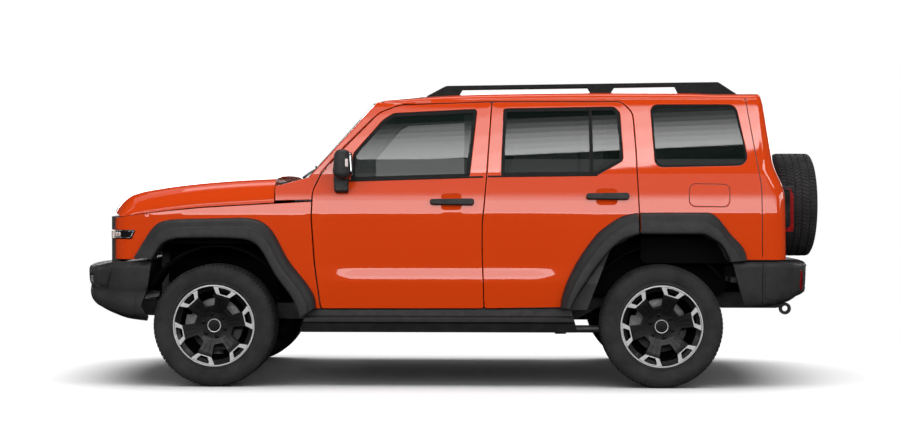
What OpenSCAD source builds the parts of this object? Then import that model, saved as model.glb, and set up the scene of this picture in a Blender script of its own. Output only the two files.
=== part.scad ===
// Five-door off-road estate car on a ladder frame, in millimetres.
// X is the length with the front at -X, Y the width with the left side at -Y, Z is up from the ground.

/* [Wheels] */
// Front axle position along X
front_axle_x = -1430; // [-1450:5:-1410]
// Distance between the two axles
wheelbase = 2750; // [2730:5:2770]
// Outer radius of the tyres, which is the height of the hubs too
tyre_r = 376; // [366:1:386]
// Width of the road tyres
tyre_w = 265; // [245:5:275]
// Distance between the middle planes of the two wheels on one axle
track = 1608; // [1590:2:1626]
// Radius of the outer rim flange
rim_r = 252; // [242:1:262]
// Number of spokes
spokes = 6; // [5:1:8]
// Turn of the first opening between the spokes, in degrees from the rear
window_turn = -17.4; // [-30:0.1:30]
// Radius of the brake discs
disc_r = 165; // [150:1:170]
// Radius of the stubs that carry the wheels
stub_r = 30; // [24:1:36]
// Running clearance of pins and stubs in their bores
run_gap = 0.05; // [0.02:0.01:0.1]
// Distance of the steering axis inside the middle plane of the front wheels
kingpin_y = 59; // [49:1:69]
// Radius of the spare tyre
spare_r = 338; // [320:1:350]
// Width of the spare tyre
spare_w = 255; // [245:5:265]
// Radius of the flange of the spare rim
spare_rim_r = 230; // [222:1:238]
// Height of the middle of the spare wheel
spare_z = 1114; // [1090:2:1140]
// Rear face of the spare tyre
spare_x = 2380; // [2360:2:2400]

/* [Body] */
// Underside of the body sides, on top of the steps
sill_z = 474; // [468:1:480]
// Width of the gap round doors and lids
shut_gap = 7; // [6:0.5:9]
// Depth of the door skins over the pillars
flange_t = 20; // [16:1:24]
// Gap between two panels of the fixed body
seam = 0.4; // [0.2:0.1:0.8]
// Thickness of the glass
glass_t = 6; // [4:0.5:8]
// Depth of the glass behind the skin
glass_in = 8; // [6:1:12]
// Half width of the roof panel, windscreen and tailgate opening
ditch_y = 640; // [632:1:648]
// Thickness of the roof panel
roof_t = 38; // [30:1:46]
// Rise of the roof in its middle
roof_crown = 18; // [8:1:26]
// Thickness of the front wings
wing_t = 40; // [34:1:46]
// Rear end of the front wings
wing_end = -835; // [-838:1:-833]
// Front end of the sides of the front wings
wing_nose = -2062; // [-2072:1:-2052]
// Skin of the side: height, half width outside, half width inside
SKIN = [
    [474, 861, 768], [560, 870, 768], [640, 878, 768], [672, 875, 768], [740, 865, 768], [900, 872, 768],
    [1065, 878, 768], [1180, 868, 768], [1290, 846, 768], [1312, 842, 797], [1752, 743, 698],
    [1763, 740, 640], [1790, 722, 640], [1808, 702, 640], [1822, 672, 640]];
// Roof line: distance along X, height
ROOF = [[-440, 1747], [-362, 1768], [-159, 1790], [274, 1808], [900, 1815], [1500, 1812], [1700, 1806],
    [1960, 1806]];
// Rear face of the body: height, distance along X
REAR = [[474, 2080], [798, 2088], [1182, 2084], [1234, 2074], [1356, 2017], [1766, 1956], [1806, 1938]];
// Foot of the windscreen pillar: distance along X, height
SCREEN_FOOT = [-852, 1290];

/* [Doors] */
// Front door outline: distance along X, height, corner radius
FRONT_DOOR = [
    [-771, 481, 14], [-808, 757, 300], [-828, 1041, 300], [-822, 1205, 120], [-765, 1318, 120],
    [-627, 1477, 0], [-417, 1690, 140], [-290, 1738, 200], [277, 1757, 10], [245, 1285, 0],
    [219, 1000, 300],
    [218, 853, 0], [230, 483, 14]];
// Rear door outline: distance along X, height, corner radius
REAR_DOOR = [
    [237, 483, 14], [225, 853, 0], [226, 1000, 300], [252, 1285, 0], [284, 1757, 10], [1080, 1757, 60],
    [1150, 1690, 90], [1166, 1459, 0], [1182, 1073, 0], [1184, 938, 0], [1090, 905, 90], [990, 835, 90],
    [752, 488, 20]];
// Front door window: distance along X, height, corner radius
FRONT_WINDOW = [
    [-592, 1268, 12], [-578, 1438, 60], [-397, 1647, 60], [-330, 1690, 60], [191, 1716, 20],
    [144, 1290, 14]];
// Rear door window: distance along X, height, corner radius
REAR_WINDOW = [
    [337, 1298, 14], [353, 1718, 20], [1040, 1728, 40], [1075, 1690, 40], [1092, 1392, 40],
    [935, 1304, 30]];
// Quarter window: distance along X, height, corner radius
QUARTER_WINDOW = [
    [1286, 1350, 50], [1260, 1742, 45], [1790, 1742, 60], [1864, 1362, 60]];
// Door hinge axes along X, front and rear
HINGE_X = [-760, 285];
// Faces of the hinge pillars along X, front and rear
PILLAR_X = [-842, 212];
// Distance of the door hinge axes from the middle of the car
hinge_y = 848; // [845:0.5:851]
// Radius of the door hinge pins
hinge_pin_r = 7; // [5:0.5:8]
// Heights of the door hinges
HINGE_Z = [760, 1105];

/* [Lids] */
// Hinge axis of the bonnet along X
bonnet_hinge_x = -1046; // [-1050:1:-1042]
// Hinge axis of the bonnet, height
bonnet_hinge_z = 1248; // [1244:1:1252]
// Half distance between the bonnet hinges
bonnet_hinge_y = 560; // [540:5:580]
// Radius of the hinge pins of the lids
lid_pin_r = 9; // [7:0.5:11]
// Thickness of the bonnet
bonnet_t = 30; // [24:1:36]
// Rear edge of the bonnet
bonnet_end = -1062; // [-1066:1:-1058]
// Hinge axis of the tailgate along X
gate_hinge_x = 2112; // [2108:1:2116]
// Hinge axis of the tailgate across
gate_hinge_y = 652; // [648:1:656]
// Heights of the tailgate hinges
GATE_HINGE_Z = [850, 1262];
// Thickness of the tailgate
gate_t = 90; // [80:2:100]
// Underside of the tailgate
gate_z = 792; // [784:2:800]
// Tailgate window: distance from the middle, height, corner radius
GATE_WINDOW = [[-545, 1370, 40], [545, 1370, 40], [520, 1715, 40], [-520, 1715, 40]];

/* [Lamps] */
// Distance of the headlamps from the middle
lamp_y = 610; // [600:1:620]
// Height of the middle of the headlamps
lamp_z = 925; // [915:1:935]
// Radius of the headlamp openings
lamp_r = 112; // [100:1:116]

/* [Frame] */
// Width of the frame rails
rail_w = 70; // [60:2:80]
// Height of the frame rails
rail_h = 100; // [90:2:110]
// Outer faces of the frame rails from the middle
rail_y = 455; // [445:1:462]
// Underside of the frame rails: distance along X, height
RAIL = [[-2120, 410], [-1150, 385], [820, 385], [1040, 505], [1580, 505], [1740, 460], [2090, 460]];
// Cross members: distance along X, height, radius
CROSS = [[-2060, 470, 45], [-600, 412, 26], [250, 412, 26], [905, 490, 28], [1640, 538, 35],
    [2040, 510, 45]];
// Thickness of the floor pan
floor_t = 30; // [24:1:36]
// Height of the underside of the footwell floor
floor_z = 505; // [500:1:510]
// Height of the underside of the load floor
load_z = 640; // [630:1:650]
// Underside of the cowl, where the bulkhead ends
cowl_z = 1228; // [1222:1:1234]
// Half width of the cabin inside the sills
cabin_y = 768; // [764:1:768]

/* [Seats] */
// Distance of the front seats from the middle
seat_y = 385; // [375:1:395]
// Underside of the cushions
seat_z = 690; // [680:1:700]

/* [Steering] */
// Middle of the steering wheel along X
helm_x = -395; // [-405:1:-385]
// Middle of the steering wheel across
helm_y = -385; // [-395:1:-375]
// Middle of the steering wheel, height
helm_z = 1085; // [1075:1:1095]
// Slope of the steering column in degrees
helm_tilt = 24; // [20:1:28]
// Radius of the steering wheel rim
helm_r = 185; // [175:1:195]

/* [Tow eye] */
// Radius of the hole in the tow eye
eye_r = 18; // [14:1:22]
// Thickness of the tow eye
eye_t = 22; // [16:1:26]
// Distance of the middle of the tow eye behind the frame
eye_x = 60; // [50:1:68]
// Middle of the tow eye, height
eye_z = 455; // [445:1:465]
// Middle of the tow eye across
eye_y = -420; // [-424:1:-416]

/* [Hidden] */
rear_axle_x = front_axle_x + wheelbase;
wheel_y = track / 2;
// The stretch that a change of wheelbase lengthens: from, to, and the wheelbase that places are drawn for
STRETCH = [-340, 700, 2750];
split_x = along(1700);
rail_end = along(RAIL[len(RAIL) - 1][0]);
gate_x = along(gate_hinge_x);
king_y = wheel_y - kingpin_y;
spare_mid = along(spare_x) - spare_w / 2;
// Heights of the two front suspension arms, about the hubs
arm_low = tyre_r - 162;
arm_high = tyre_r + 190;
// Room between the frame and the rear tyres for springs and links
spring_room = wheel_y - tyre_w / 2 - rail_y;
arc_steps = 5;
paint = [0.77, 0.23, 0.02];
plastic = [0.17, 0.17, 0.18];
clear = [0.35, 0.42, 0.40, 0.6];
metal = [0.55, 0.56, 0.58];
rubber = [0.10, 0.10, 0.11];
$fn = 72;

function unit(v) = v / norm(v);
function along(x) =
    x + (wheelbase - STRETCH[2]) * max(0, min(1, (x - STRETCH[0]) / (STRETCH[1] - STRETCH[0])));
function places(xs) = [for (x = xs) along(x)];
function sited(t) = [for (p = t) [along(p[0]), each [for (k = [1:len(p) - 1]) p[k]]]];
function flat(p) = [p[0], p[1]];
// One corner of an outline, as the arc that touches both its sides
function corner_arc(a, p, b, r) =
    let (u = unit(a - p), w = unit(b - p), half = acos(max(-1, min(1, u * w))) / 2)
    (r <= 0 || half > 89.5) ? [p] :
    let (reach = min(r / tan(half), norm(a - p) * 0.48, norm(b - p) * 0.48), rr = reach * tan(half),
        c = p + unit(u + w) * (rr / sin(half)), s = p + u * reach - c, e = p + w * reach - c,
        a0 = atan2(s.y, s.x), d = atan2(e.y, e.x) - a0, turn = d > 180 ? d - 360 : d < -180 ? d + 360 : d)
    [for (i = [0:arc_steps]) c + rr * [cos(a0 + turn * i / arc_steps), sin(a0 + turn * i / arc_steps)]];
// Outline with its corners rounded, from points of two coordinates and a radius
function rounded(t) = let (n = len(t))
    [for (i = [0:n - 1]) each corner_arc(flat(t[(i + n - 1) % n]), flat(t[i]), flat(t[(i + 1) % n]),
    t[i][2])];
function skin_y(z) = lookup(z, [for (s = SKIN) [s[0], s[1]]]);
function lining_y(z) = lookup(z, [for (s = SKIN) [s[0], s[2]]]);
function roof_z(x) = lookup(x, sited(ROOF));
function rear_x(z) = along(lookup(z, REAR));
function rail_z(x) = lookup(x, sited(RAIL));
function hinge_x(i) = along(HINGE_X[i]);
function pillar_x(i) = along(PILLAR_X[i]);
function levels(z0, z1) = [z0, each [for (s = SKIN) if (s[0] > z0 + 0.5 && s[0] < z1 - 0.5) s[0]], z1];
// Slice of the left wall from depth d0 to depth d1, or to the lining where no d1 is given
function band(z0, z1, d0, d1) = let (zs = levels(z0, z1), n = len(zs))
    [each [for (z = zs) [-(skin_y(z) - d0), z]],
     each [for (i = [n - 1:-1:0]) [-(is_undef(d1) ? lining_y(zs[i]) : skin_y(zs[i]) - d1), zs[i]]]];
// Faces of a panel between two grids of r rows and c columns
function panel_faces(r, c) = let (q = r * c)
    [each [for (i = [0:r - 2], j = [0:c - 2]) let (a = i * c + j, b = a + 1, d = a + c, e = d + 1)
        each [[a, b, e], [a, e, d], [q + a, q + e, q + b], [q + a, q + d, q + e]]],
     each [for (i = [0:r - 2]) let (a = i * c, d = a + c, f = a + c - 1, g = d + c - 1)
        each [[a, d, q + d], [a, q + d, q + a], [g, f, q + f], [g, q + f, q + g]]],
     each [for (j = [0:c - 2]) let (a = j, b = j + 1, d = (r - 1) * c + j, e = d + 1)
        each [[b, a, q + a], [b, q + a, q + b], [d, e, q + e], [d, q + e, q + d]]]];

module both() {
    children();
    mirror([0, 1, 0]) children();
}
// Outline drawn on the side view and run across the car from y0 to y1
module side_prism(points, y0, y1) {
    translate([0, y1, 0]) rotate([90, 0, 0]) linear_extrude(y1 - y0) polygon(points);
}
// Side view shape run across the left wall
module through_left(y0 = -1000, y1 = -600) {
    translate([0, y1, 0]) rotate([90, 0, 0]) linear_extrude(y1 - y0) children();
}
// Left wall between two depths
module wall(x0, x1, z0, z1, d0, d1) {
    translate([x0, 0, 0]) rotate([90, 0, 90]) linear_extrude(x1 - x0) polygon(band(z0, z1, d0, d1));
}
// Panel between an outer and an inner grid
module panel(outer, inner) {
    polyhedron([for (row = outer) each row, for (row = inner) each row],
        panel_faces(len(outer), len(outer[0])));
}
module bar_y(x, y0, y1, z, r) {
    translate([x, y0, z]) rotate([-90, 0, 0]) cylinder(h = y1 - y0, r = r);
}
module box(x0, x1, y0, y1, z0, z1) {
    translate([x0, y0, z0]) cube([x1 - x0, y1 - y0, z1 - z0]);
}

// Frame

module frame_rails() {
    lower = sited(RAIL);
    upper = [for (i = [len(RAIL) - 1:-1:0]) lower[i] + [0, rail_h]];
    color(rubber) both() union() {
        side_prism(concat(lower, upper), -rail_y, -rail_y + rail_w);
        for (x = places([-700, 0, 640])) {
            translate([x, -rail_y + rail_w / 2, rail_z(x) + rail_h - 1])
                cylinder(h = floor_z - rail_z(x) - rail_h + 1 - seam, r = 32);
        }
        for (x = places([1120, 1500])) {
            translate([x, -rail_y + rail_w / 2, rail_z(x) + rail_h - 1])
                cylinder(h = load_z - rail_z(x) - rail_h + 1 - seam, r = 32);
        }
    }
}
module cross_members() {
    inner = rail_y - rail_w - seam;
    color(rubber) for (c = sited(CROSS)) bar_y(c[0], -inner, inner, c[1], c[2]);
}
module floor_pan() {
    profile = sited([
        [-800, cowl_z - seam], [-800, floor_z + 60], [-740, floor_z], [790, floor_z], [850, load_z],
        [1990, load_z],
        [1990, load_z + floor_t], [835, load_z + floor_t], [775, floor_z + floor_t],
        [-728, floor_z + floor_t],
        [-770, floor_z + 72], [-770, cowl_z - seam]]);
    half = cabin_y - seam;
    color(rubber) difference() {
        side_prism(profile, -half, half);
        both() box(rear_axle_x - 440, rear_axle_x + 440, -half - 1, -wheel_y + 194, load_z - 300,
            load_z + 200);
    }
}
module tow_eye() {
    x = rail_end + eye_x;
    color(metal) difference() {
        union() {
            bar_y(x, eye_y - eye_t / 2, eye_y + eye_t / 2, eye_z, eye_r + 20);
            box(rail_end + seam, x, eye_y - eye_t / 2, eye_y + eye_t / 2, eye_z + 5, eye_z + 37);
        }
        bar_y(x, eye_y - eye_t, eye_y + eye_t, eye_z, eye_r);
    }
}

// Body shell

// Front and rear door outlines in 2-D
module door_shape(i) {
    polygon(rounded(sited(i == 0 ? FRONT_DOOR : REAR_DOOR)));
}
// Inner box of a door, behind its hinge line and clear of the pillars
module door_box_shape(i, grow) {
    intersection() {
        offset(delta = -flange_t + grow) door_shape(i);
        translate([hinge_x(i) + 26 - grow, 0])
            square([along(i == 0 ? 102 : 1300) - hinge_x(i) - 26 + 2 * grow, 2000]);
    }
}
// Door opening in the wall behind the door skin
module door_hole_shape(i) {
    door_box_shape(i, 8);
    intersection() {
        offset(delta = shut_gap) door_shape(i);
        translate([i == 0 ? -860 : pillar_x(i), 0]) square([i == 0 ? 140 : 120, 1700]);
    }
    translate([pillar_x(i), 500]) square([hinge_x(i) - pillar_x(i), 635]);
}
// Rear wheel arch in the side view
module rear_arch_shape(grow) {
    offset(delta = grow) polygon(rounded(sited([
        [800, 300, 0], [1011, 853, 60], [1176, 939, 60], [1564, 939, 60], [1668, 885, 60], [1726, 780, 60],
        [1804, 498, 20], [1830, 300, 0]])));
}
// Rear left corner as rows of plan outlines, set in by d
function corner_row(z, d) = let (w = d == 0 ? skin_y(z) : lining_y(z), x = rear_x(z) - d,
    y1 = -ditch_y + d)
    [for (p = [
        [split_x - d, y1], [split_x - d, -w],
        each corner_arc([split_x, -w], [x, -w], [x, y1], d == 0 ? 95 : 30), [x, y1]]) [p.x, p.y, z]];
module rear_corner(d, zs) {
    rows = [for (z = zs) corner_row(z, d)];
    n = len(rows[0]);
    last = len(rows) - 1;
    polyhedron([for (r = rows) each r], [
        [for (i = [0:n - 1]) i],
        [for (i = [n - 1:-1:0]) last * n + i],
        each [for (k = [0:last - 1], i = [0:n - 1]) let (a = k * n + i, b = k * n + (i + 1) % n)
            each [[a, b + n, b], [a, a + n, b + n]]]]);
}
module body_side() {
    line = [
        [-940, sill_z], [-940, 1150], [-1055, 1145], [-1055, 1236], [-880, 1282], SCREEN_FOOT,
        each [for (p = sited(ROOF)) if (p[0] < split_x) p], [split_x, roof_z(split_x)], [split_x, sill_z]];
    difference() {
        union() {
            intersection() {
                side_prism(line, -1000, -ditch_y);
                wall(-1100, split_x, sill_z, 1820, 0);
            }
            difference() {
                rear_corner(0, [778, 900, 1065, 1180, 1234, 1290, 1312, 1356, 1752, 1763, 1790, 1806]);
                rear_corner(80, [700, 1290, 1312, 1752]);
            }
        }
        for (i = [0:1]) {
            intersection() {
                through_left() offset(delta = shut_gap) door_shape(i);
                wall(-1000, along(1300), sill_z - 1, 1763, -40, flange_t + 8);
            }
            through_left() door_hole_shape(i);
        }
        through_left() polygon(rounded(sited(QUARTER_WINDOW)));
        through_left() rear_arch_shape(0);
        box(split_x - 10, split_x + 500, -1000, -500, sill_z - 1, 778);
        box(-1100, wing_end - shut_gap, -1000, -skin_y(sill_z) + wing_t + seam, sill_z - 1, 1146);
        box(wing_end - shut_gap, -760, -1000, -840, sill_z - 1, 1146);
    }
}
module body_side_left() {
    color(paint) body_side();
}
module body_side_right() {
    color(paint) mirror([0, 1, 0]) body_side();
}
module roof_panel() {
    xs = places([-428, -362, -260, -159, 60, 274, 600, 900, 1200, 1500, 1700, 1850, 1936]);
    ys = [for (k = [-4:4]) (ditch_y - seam) * k / 4];
    function z_at(x, y) =
        roof_z(x) + roof_crown * (1 - pow(y / ditch_y, 2)) * min(1, (x + 460) / 400,
            (along(2050) - x) / 300);
    function x_at(x, y) = x - (x < -360 ? 22 * (1 - pow(y / ditch_y, 2)) : 0);
    color(paint) panel(
        [for (x = xs) [for (y = ys) [x_at(x, y), y, z_at(x, y)]]],
        [for (x = xs) [for (y = ys) [x_at(x, y), y, z_at(x, y) - roof_t]]]);
}
// Front wing: the side wall brought round the front corner
module wing_plan(d) {
    polygon(rounded([
        [wing_end - shut_gap, 0, 0], [wing_end - shut_gap, -960, 0], [-1900, -960, 0],
        [-1901, -880 + d, 0],
        [wing_nose - 30 + d, -880 + d, 130 - d], [wing_nose - 60 + d, -760, 0],
        [wing_nose - 60 + d, 0, 0]]));
}
module front_arch_shape() {
    polygon(rounded([
        [-1900, 300, 0], [-1872, 660, 0], [-1798, 788, 40], [-1734, 882, 60], [-1631, 912, 40],
        [-1261, 908, 60],
        [-1172, 882, 60], [-918, 492, 60], [-880, 300, 0]]));
}
module front_wings() {
    line = [
        [wing_nose - 80, 778], [wing_nose - 80, 1036], [-2053, 1041], [-1756, 1078], [-1508, 1101],
        [-1062, 1127],
        [wing_end, 1139], [wing_end, sill_z], [-1500, sill_z], [-1800, 778]];
    color(paint) both() difference() {
        intersection() {
            side_prism(line, -1000, -760);
            wall(wing_nose - 100, wing_end, sill_z, 1200, 0, 300);
            translate([0, 0, 400]) linear_extrude(800) union() {
                wing_plan(0);
                translate([-1900, -960]) square([1900 + wing_end, 960]);
            }
        }
        intersection() {
            wall(wing_nose - 100, wing_end + 1, sill_z - 1, 1201, wing_t, 400);
            translate([0, 0, 400]) linear_extrude(800) union() {
                wing_plan(wing_t);
                translate([-1900, -960]) square([1901 + wing_end, 960]);
            }
        }
        through_left() front_arch_shape();
        intersection() {
            box(wing_end - 60, wing_end + 1, -1000, -700, sill_z - 1, 1300);
            wall(wing_nose, wing_end + 2, sill_z - 2, 1250, 12, 300);
        }
    }
}
module windscreen() {
    top = [-440, 1747];
    run = top - SCREEN_FOOT;
    bend = 6800;
    color(clear) translate([SCREEN_FOOT.x, 0, SCREEN_FOOT.y]) rotate([0, -atan2(run.y, run.x), 0])
        intersection() {
        translate([-20, 0, 22 - bend]) rotate([0, 90, 0]) difference() {
            cylinder(h = norm(run) + 40, r = bend, $fn = 720);
            translate([0, 0, -1]) cylinder(h = norm(run) + 60, r = bend - glass_t, $fn = 720);
        }
        translate([0, -ditch_y + seam, -60]) cube([norm(run) + 1, 2 * (ditch_y - seam), 120]);
    }
}
// Pane of the left wall inside an outline
module pane(points, inset) {
    color(clear) intersection() {
        through_left() offset(delta = -inset) polygon(points);
        wall(-900, along(2000), 1200, 1760, glass_in, glass_in + glass_t);
    }
}
module fixed_glass() {
    windscreen();
    both() pane(rounded(sited(QUARTER_WINDOW)), seam);
}
module cowl_panel() {
    profile = [
        [-1030, cowl_z], [-1030, 1258], [-880, 1279], [-846, 1283], [-846, 1250], [-790, 1250],
        [-790, cowl_z]];
    half = cabin_y - seam;
    color(plastic) side_prism(profile, -half, half);
}
function nose_x(y) = -2158 + 62 * pow(abs(y) / 760, 2.4);
module grille_panel() {
    ys = [for (k = [-8:8]) 752 * k / 8];
    front = [for (y = ys) [nose_x(y), y]];
    back = [for (i = [len(ys) - 1:-1:0]) [nose_x(ys[i]) + 55, ys[i]]];
    color(plastic) difference() {
        translate([0, 0, 750]) linear_extrude(296) polygon(concat(front, back));
        for (s = [-1, 1]) translate([-2300, s * lamp_y, lamp_z]) rotate([0, 90, 0])
            cylinder(h = 400, r = lamp_r);
        for (k = [0:4]) box(-2200, -2050, -455, 455, 790 + 52 * k, 790 + 52 * k + 30);
    }
}
module headlamps() {
    color(clear) for (s = [-1, 1]) {
        translate([-2150, s * lamp_y, lamp_z]) rotate([0, 90, 0]) cylinder(h = 60, r = lamp_r - seam);
        mirror([0, s > 0 ? 1 : 0, 0]) intersection() {
            translate([0, 0, 908]) linear_extrude(58) difference() {
                wing_plan(-14);
                wing_plan(-seam);
                translate([-1915, -1100]) square([1200, 1200]);
                translate([-2400, -762]) square([500, 900]);
            }
            box(-2200, -1900, -1000, 0, 900, 1000);
        }
    }
}

// Bumpers, flares and steps

// Front bumper stations on the left: plan X, plan Y, way out in degrees from the front, top, underside
NOSE = [
    [-1850, -930, 90, 776, 400], [-1960, -928, 88, 776, 410], [-2090, -900, 66, 768, 440],
    [-2200, -820, 44, 745, 470],
    [-2290, -660, 22, 738, 490], [-2352, -400, 9, 736, 490], [-2380, 0, 0, 735, 490]];
// Rear bumper stations on the left, with the way out in degrees from the rear
TAIL = [
    [1850, -900, 90, 777, 500], [2000, -898, 88, 777, 500], [2110, -868, 62, 770, 508],
    [2190, -780, 34, 758, 530],
    [2250, -600, 16, 757, 545], [2285, -340, 8, 757, 550], [2300, 0, 0, 757, 550]];
// Bumper profile: share of the height from the top, set-in from the outside
PROFILE = [[0, 34], [0.03, 8], [0.12, 0], [0.42, 4], [0.5, 14], [0.72, 12], [0.9, 22], [1, 60]];
function mirrored(t) = concat(t, [for (i = [len(t) - 2:-1:0]) [t[i][0], -t[i][1], -t[i][2], t[i][3],
    t[i][4]]]);
function bumper_grid(t, end, deep) = [for (s = mirrored(t)) [for (p = PROFILE)
    let (d = p[1] + deep)
    [s[0] + end * -d * cos(s[2]), s[1] + (s[1] == 0 ? 0 : 1) * d * sin(s[2]),
    s[3] + (s[4] - s[3]) * p[0]]]];
module front_bumper() {
    color(plastic) union() {
        panel(bumper_grid(NOSE, -1, 0), bumper_grid(NOSE, -1, 34));
        both() box(-2320, RAIL[0].x - seam, -440, -400, 470, 560);
    }
}
module rear_bumper() {
    color(plastic) union() {
        panel(bumper_grid(sited(TAIL), 1, 34), bumper_grid(sited(TAIL), 1, 0));
        both() box(rail_end + seam, along(2250), -440, -400, 520, 620);
    }
}
// Flares: outer edge X and height, inner edge X and height
FRONT_FLARE = [
    [-1932, 796, -1800, 788], [-1776, 1009, -1734, 880], [-1740, 1020, -1700, 898],
    [-1680, 1030, -1631, 912],
    [-1437, 1036, -1437, 914], [-1246, 1041, -1261, 908], [-1180, 1032, -1215, 900],
    [-1119, 1006, -1172, 880],
    [-970, 778, -1044, 684], [-807, 535, -918, 492], [-801, 489, -900, 430]];
REAR_FLARE_DOOR = [
    [700, 489, 764, 489], [713, 559, 800, 560], [921, 937, 1005, 842], [985, 992, 1040, 876],
    [1094, 1056, 1100, 914],
    [1176, 1072, 1176, 938]];
REAR_FLARE_BODY = [
    [1190, 1073, 1190, 940], [1400, 1074, 1400, 939], [1605, 1074, 1564, 939], [1640, 1060, 1620, 912],
    [1668, 1036, 1668, 882], [1735, 950, 1710, 820], [1835, 823, 1728, 776], [1842, 782, 1728, 774]];
// Flare profile: share of the width from the outer edge, distance from the middle of the car
LIP = [[0, 884], [0.1, 925], [0.42, 955], [0.88, 964], [0.96, 958], [1, 900]];
module flare(t) {
    function grid(back) = [for (s = t) [for (p = LIP)
        [along(s[0] + (s[2] - s[0]) * p[0]), back ? -skin_y(1065) - seam : -p[1],
        s[1] + (s[3] - s[1]) * p[0]]]];
    panel(grid(true), grid(false));
}
module wheel_flares() {
    color(plastic) both() {
        flare(FRONT_FLARE);
        flare(REAR_FLARE_BODY);
    }
}
module side_steps() {
    step = [
        [-772, sill_z - seam], [-858, sill_z - seam], [-872, 436], [-908, 432], [-918, 422],
        [-918, 402], [-902, 390],
        [-880, 335], [-772, 335]];
    color(plastic) both() intersection() {
        translate([-900, 0, 0]) rotate([90, 0, 90]) linear_extrude(along(810) + 900) polygon(step);
        side_prism(sited([[-860, 480], [-896, 335], [-880, 330], [785, 330], [805, 345], [768, 480]]),
            -1000, -700);
    }
}
// Point on the roof line, where a foot of a roof rail stands
function foot(x) = [along(x), roof_z(along(x)) + seam, 0];
module roof_rails() {
    line = [
        foot(-157), foot(78), [along(110), 1832, 20], [along(880), 1845, 10], foot(898), foot(1018),
        [along(1036), 1846, 10], [along(1400), 1848, 20], foot(1437), foot(1500), foot(1700), foot(1812),
        [along(1760), 1886, 40], [along(900), 1880, 0], [along(-6), 1866, 90]];
    color(plastic) both() side_prism(rounded(line), -682, -645);
}
module tail_lamps() {
    line = [
        [rear_x(955) + seam, 955, 0], [rear_x(1182) + seam, 1182, 0], [rear_x(1232) + seam, 1232, 0],
        [along(2118), 1232, 12], [along(2140), 1180, 30], [along(2140), 955, 12]];
    color([0.5, 0.04, 0.04]) both() side_prism(rounded(line), -790, -690);
}
module wheel_liners() {
    color(rubber) both() {
        for (x = [front_axle_x, rear_axle_x]) difference() {
            bar_y(x, x < 0 ? -820 : -cabin_y + 1, x < 0 ? -473 : -wheel_y + 195, tyre_r + 24, 470);
            bar_y(x, x < 0 ? -821 : -cabin_y, x < 0 ? -472 : -wheel_y + 182, tyre_r + 24, 458);
            box(x - 600, x + 600, -1000, 0, -200, x < 0 ? 620 : load_z + floor_t + seam);
        }
        box(front_axle_x - 330, front_axle_x + 330, -473, -rail_y - seam, 470, 850);
    }
}

// Running gear

module engine_gearbox() {
    shaft_z = 470;
    joint_x = along(250);
    rear_shaft = rear_axle_x - 250 - joint_x;
    color(metal) union() {
        box(-1880, -1180, -270, 270, 470, 1080);
        box(-1800, -1260, -180, 180, 400, 471);
        translate([-1181, 0, 600]) rotate([0, 90, 0]) cylinder(h = 182, r = 95);
        box(-1000, -811, -120, 150, 440, 660);
        translate([-812, 0, shaft_z]) rotate([0, 90, 0]) cylinder(h = joint_x + 812, r = 28);
        translate([joint_x, 0, shaft_z]) sphere(32);
        translate([joint_x, 0, shaft_z]) rotate([0, 90 + atan2(shaft_z - tyre_r, rear_shaft), 0])
            cylinder(h = norm([rear_shaft, shaft_z - tyre_r]) - 6, r = 26);
    }
}
module fuel_tank() {
    color(rubber) box(along(420), along(730), -375, -45, 330, 490);
}
module exhaust() {
    color(metal) union() {
        translate([along(-400), 290, 468]) rotate([0, 90, 0])
            cylinder(h = along(750) - along(-400), r = 26);
        translate([along(330), 290, 425]) rotate([0, 90, 0]) cylinder(h = along(710) - along(330), r = 78);
    }
}
module front_suspension() {
    color(metal) both() {
        difference() {
            union() {
                bar_y(front_axle_x, -king_y + 34, -rail_y - seam, arm_low, 26);
                translate([front_axle_x, -king_y, arm_low - 24]) cylinder(h = 34, r = 44);
                box(front_axle_x - 150, front_axle_x + 150, -rail_y - 60, -rail_y - seam, arm_low - 9,
                    arm_low + 26);
                box(front_axle_x - 60, front_axle_x + 60, -rail_y - 40, -rail_y - seam, arm_low, 468);
            }
            translate([front_axle_x, -king_y, arm_low - 114]) cylinder(h = 200, r = 22 + run_gap);
        }
        difference() {
            union() {
                bar_y(front_axle_x, -king_y + 34, -473 - seam, arm_high, 20);
                translate([front_axle_x, -king_y, arm_high - 18]) cylinder(h = 30, r = 40);
            }
            translate([front_axle_x, -king_y, arm_high - 66]) cylinder(h = 100, r = 22 + run_gap);
        }
    }
}
// Left knuckle with its stub and brake caliper
module knuckle() {
    color(metal) union() {
        translate([front_axle_x, -king_y, arm_low - 22]) cylinder(h = arm_high - arm_low + 32, r = 22);
        translate([front_axle_x, -king_y, arm_low + 18]) cylinder(h = arm_high - arm_low - 44, r = 34);
        bar_y(front_axle_x, -wheel_y + 19, -king_y, tyre_r, 62);
        bar_y(front_axle_x, -wheel_y - 62, -wheel_y + 24, tyre_r, stub_r);
        caliper(front_axle_x);
    }
}
module caliper(x) {
    intersection() {
        difference() {
            bar_y(x, -wheel_y - 22, -wheel_y + 28, tyre_r, 192);
            bar_y(x, -wheel_y - 10, -wheel_y + 12, tyre_r, 172);
            bar_y(x, -wheel_y - 30, -wheel_y + 12, tyre_r, 112);
            bar_y(x, -wheel_y + 24, -wheel_y + 104, tyre_r, 50);
        }
        box(x - 200, x - 20, -wheel_y - 30, -wheel_y + 104, tyre_r - 62, tyre_r + 62);
    }
}
module knuckle_left() {
    knuckle();
}
module knuckle_right() {
    mirror([0, 1, 0]) knuckle();
}
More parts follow.
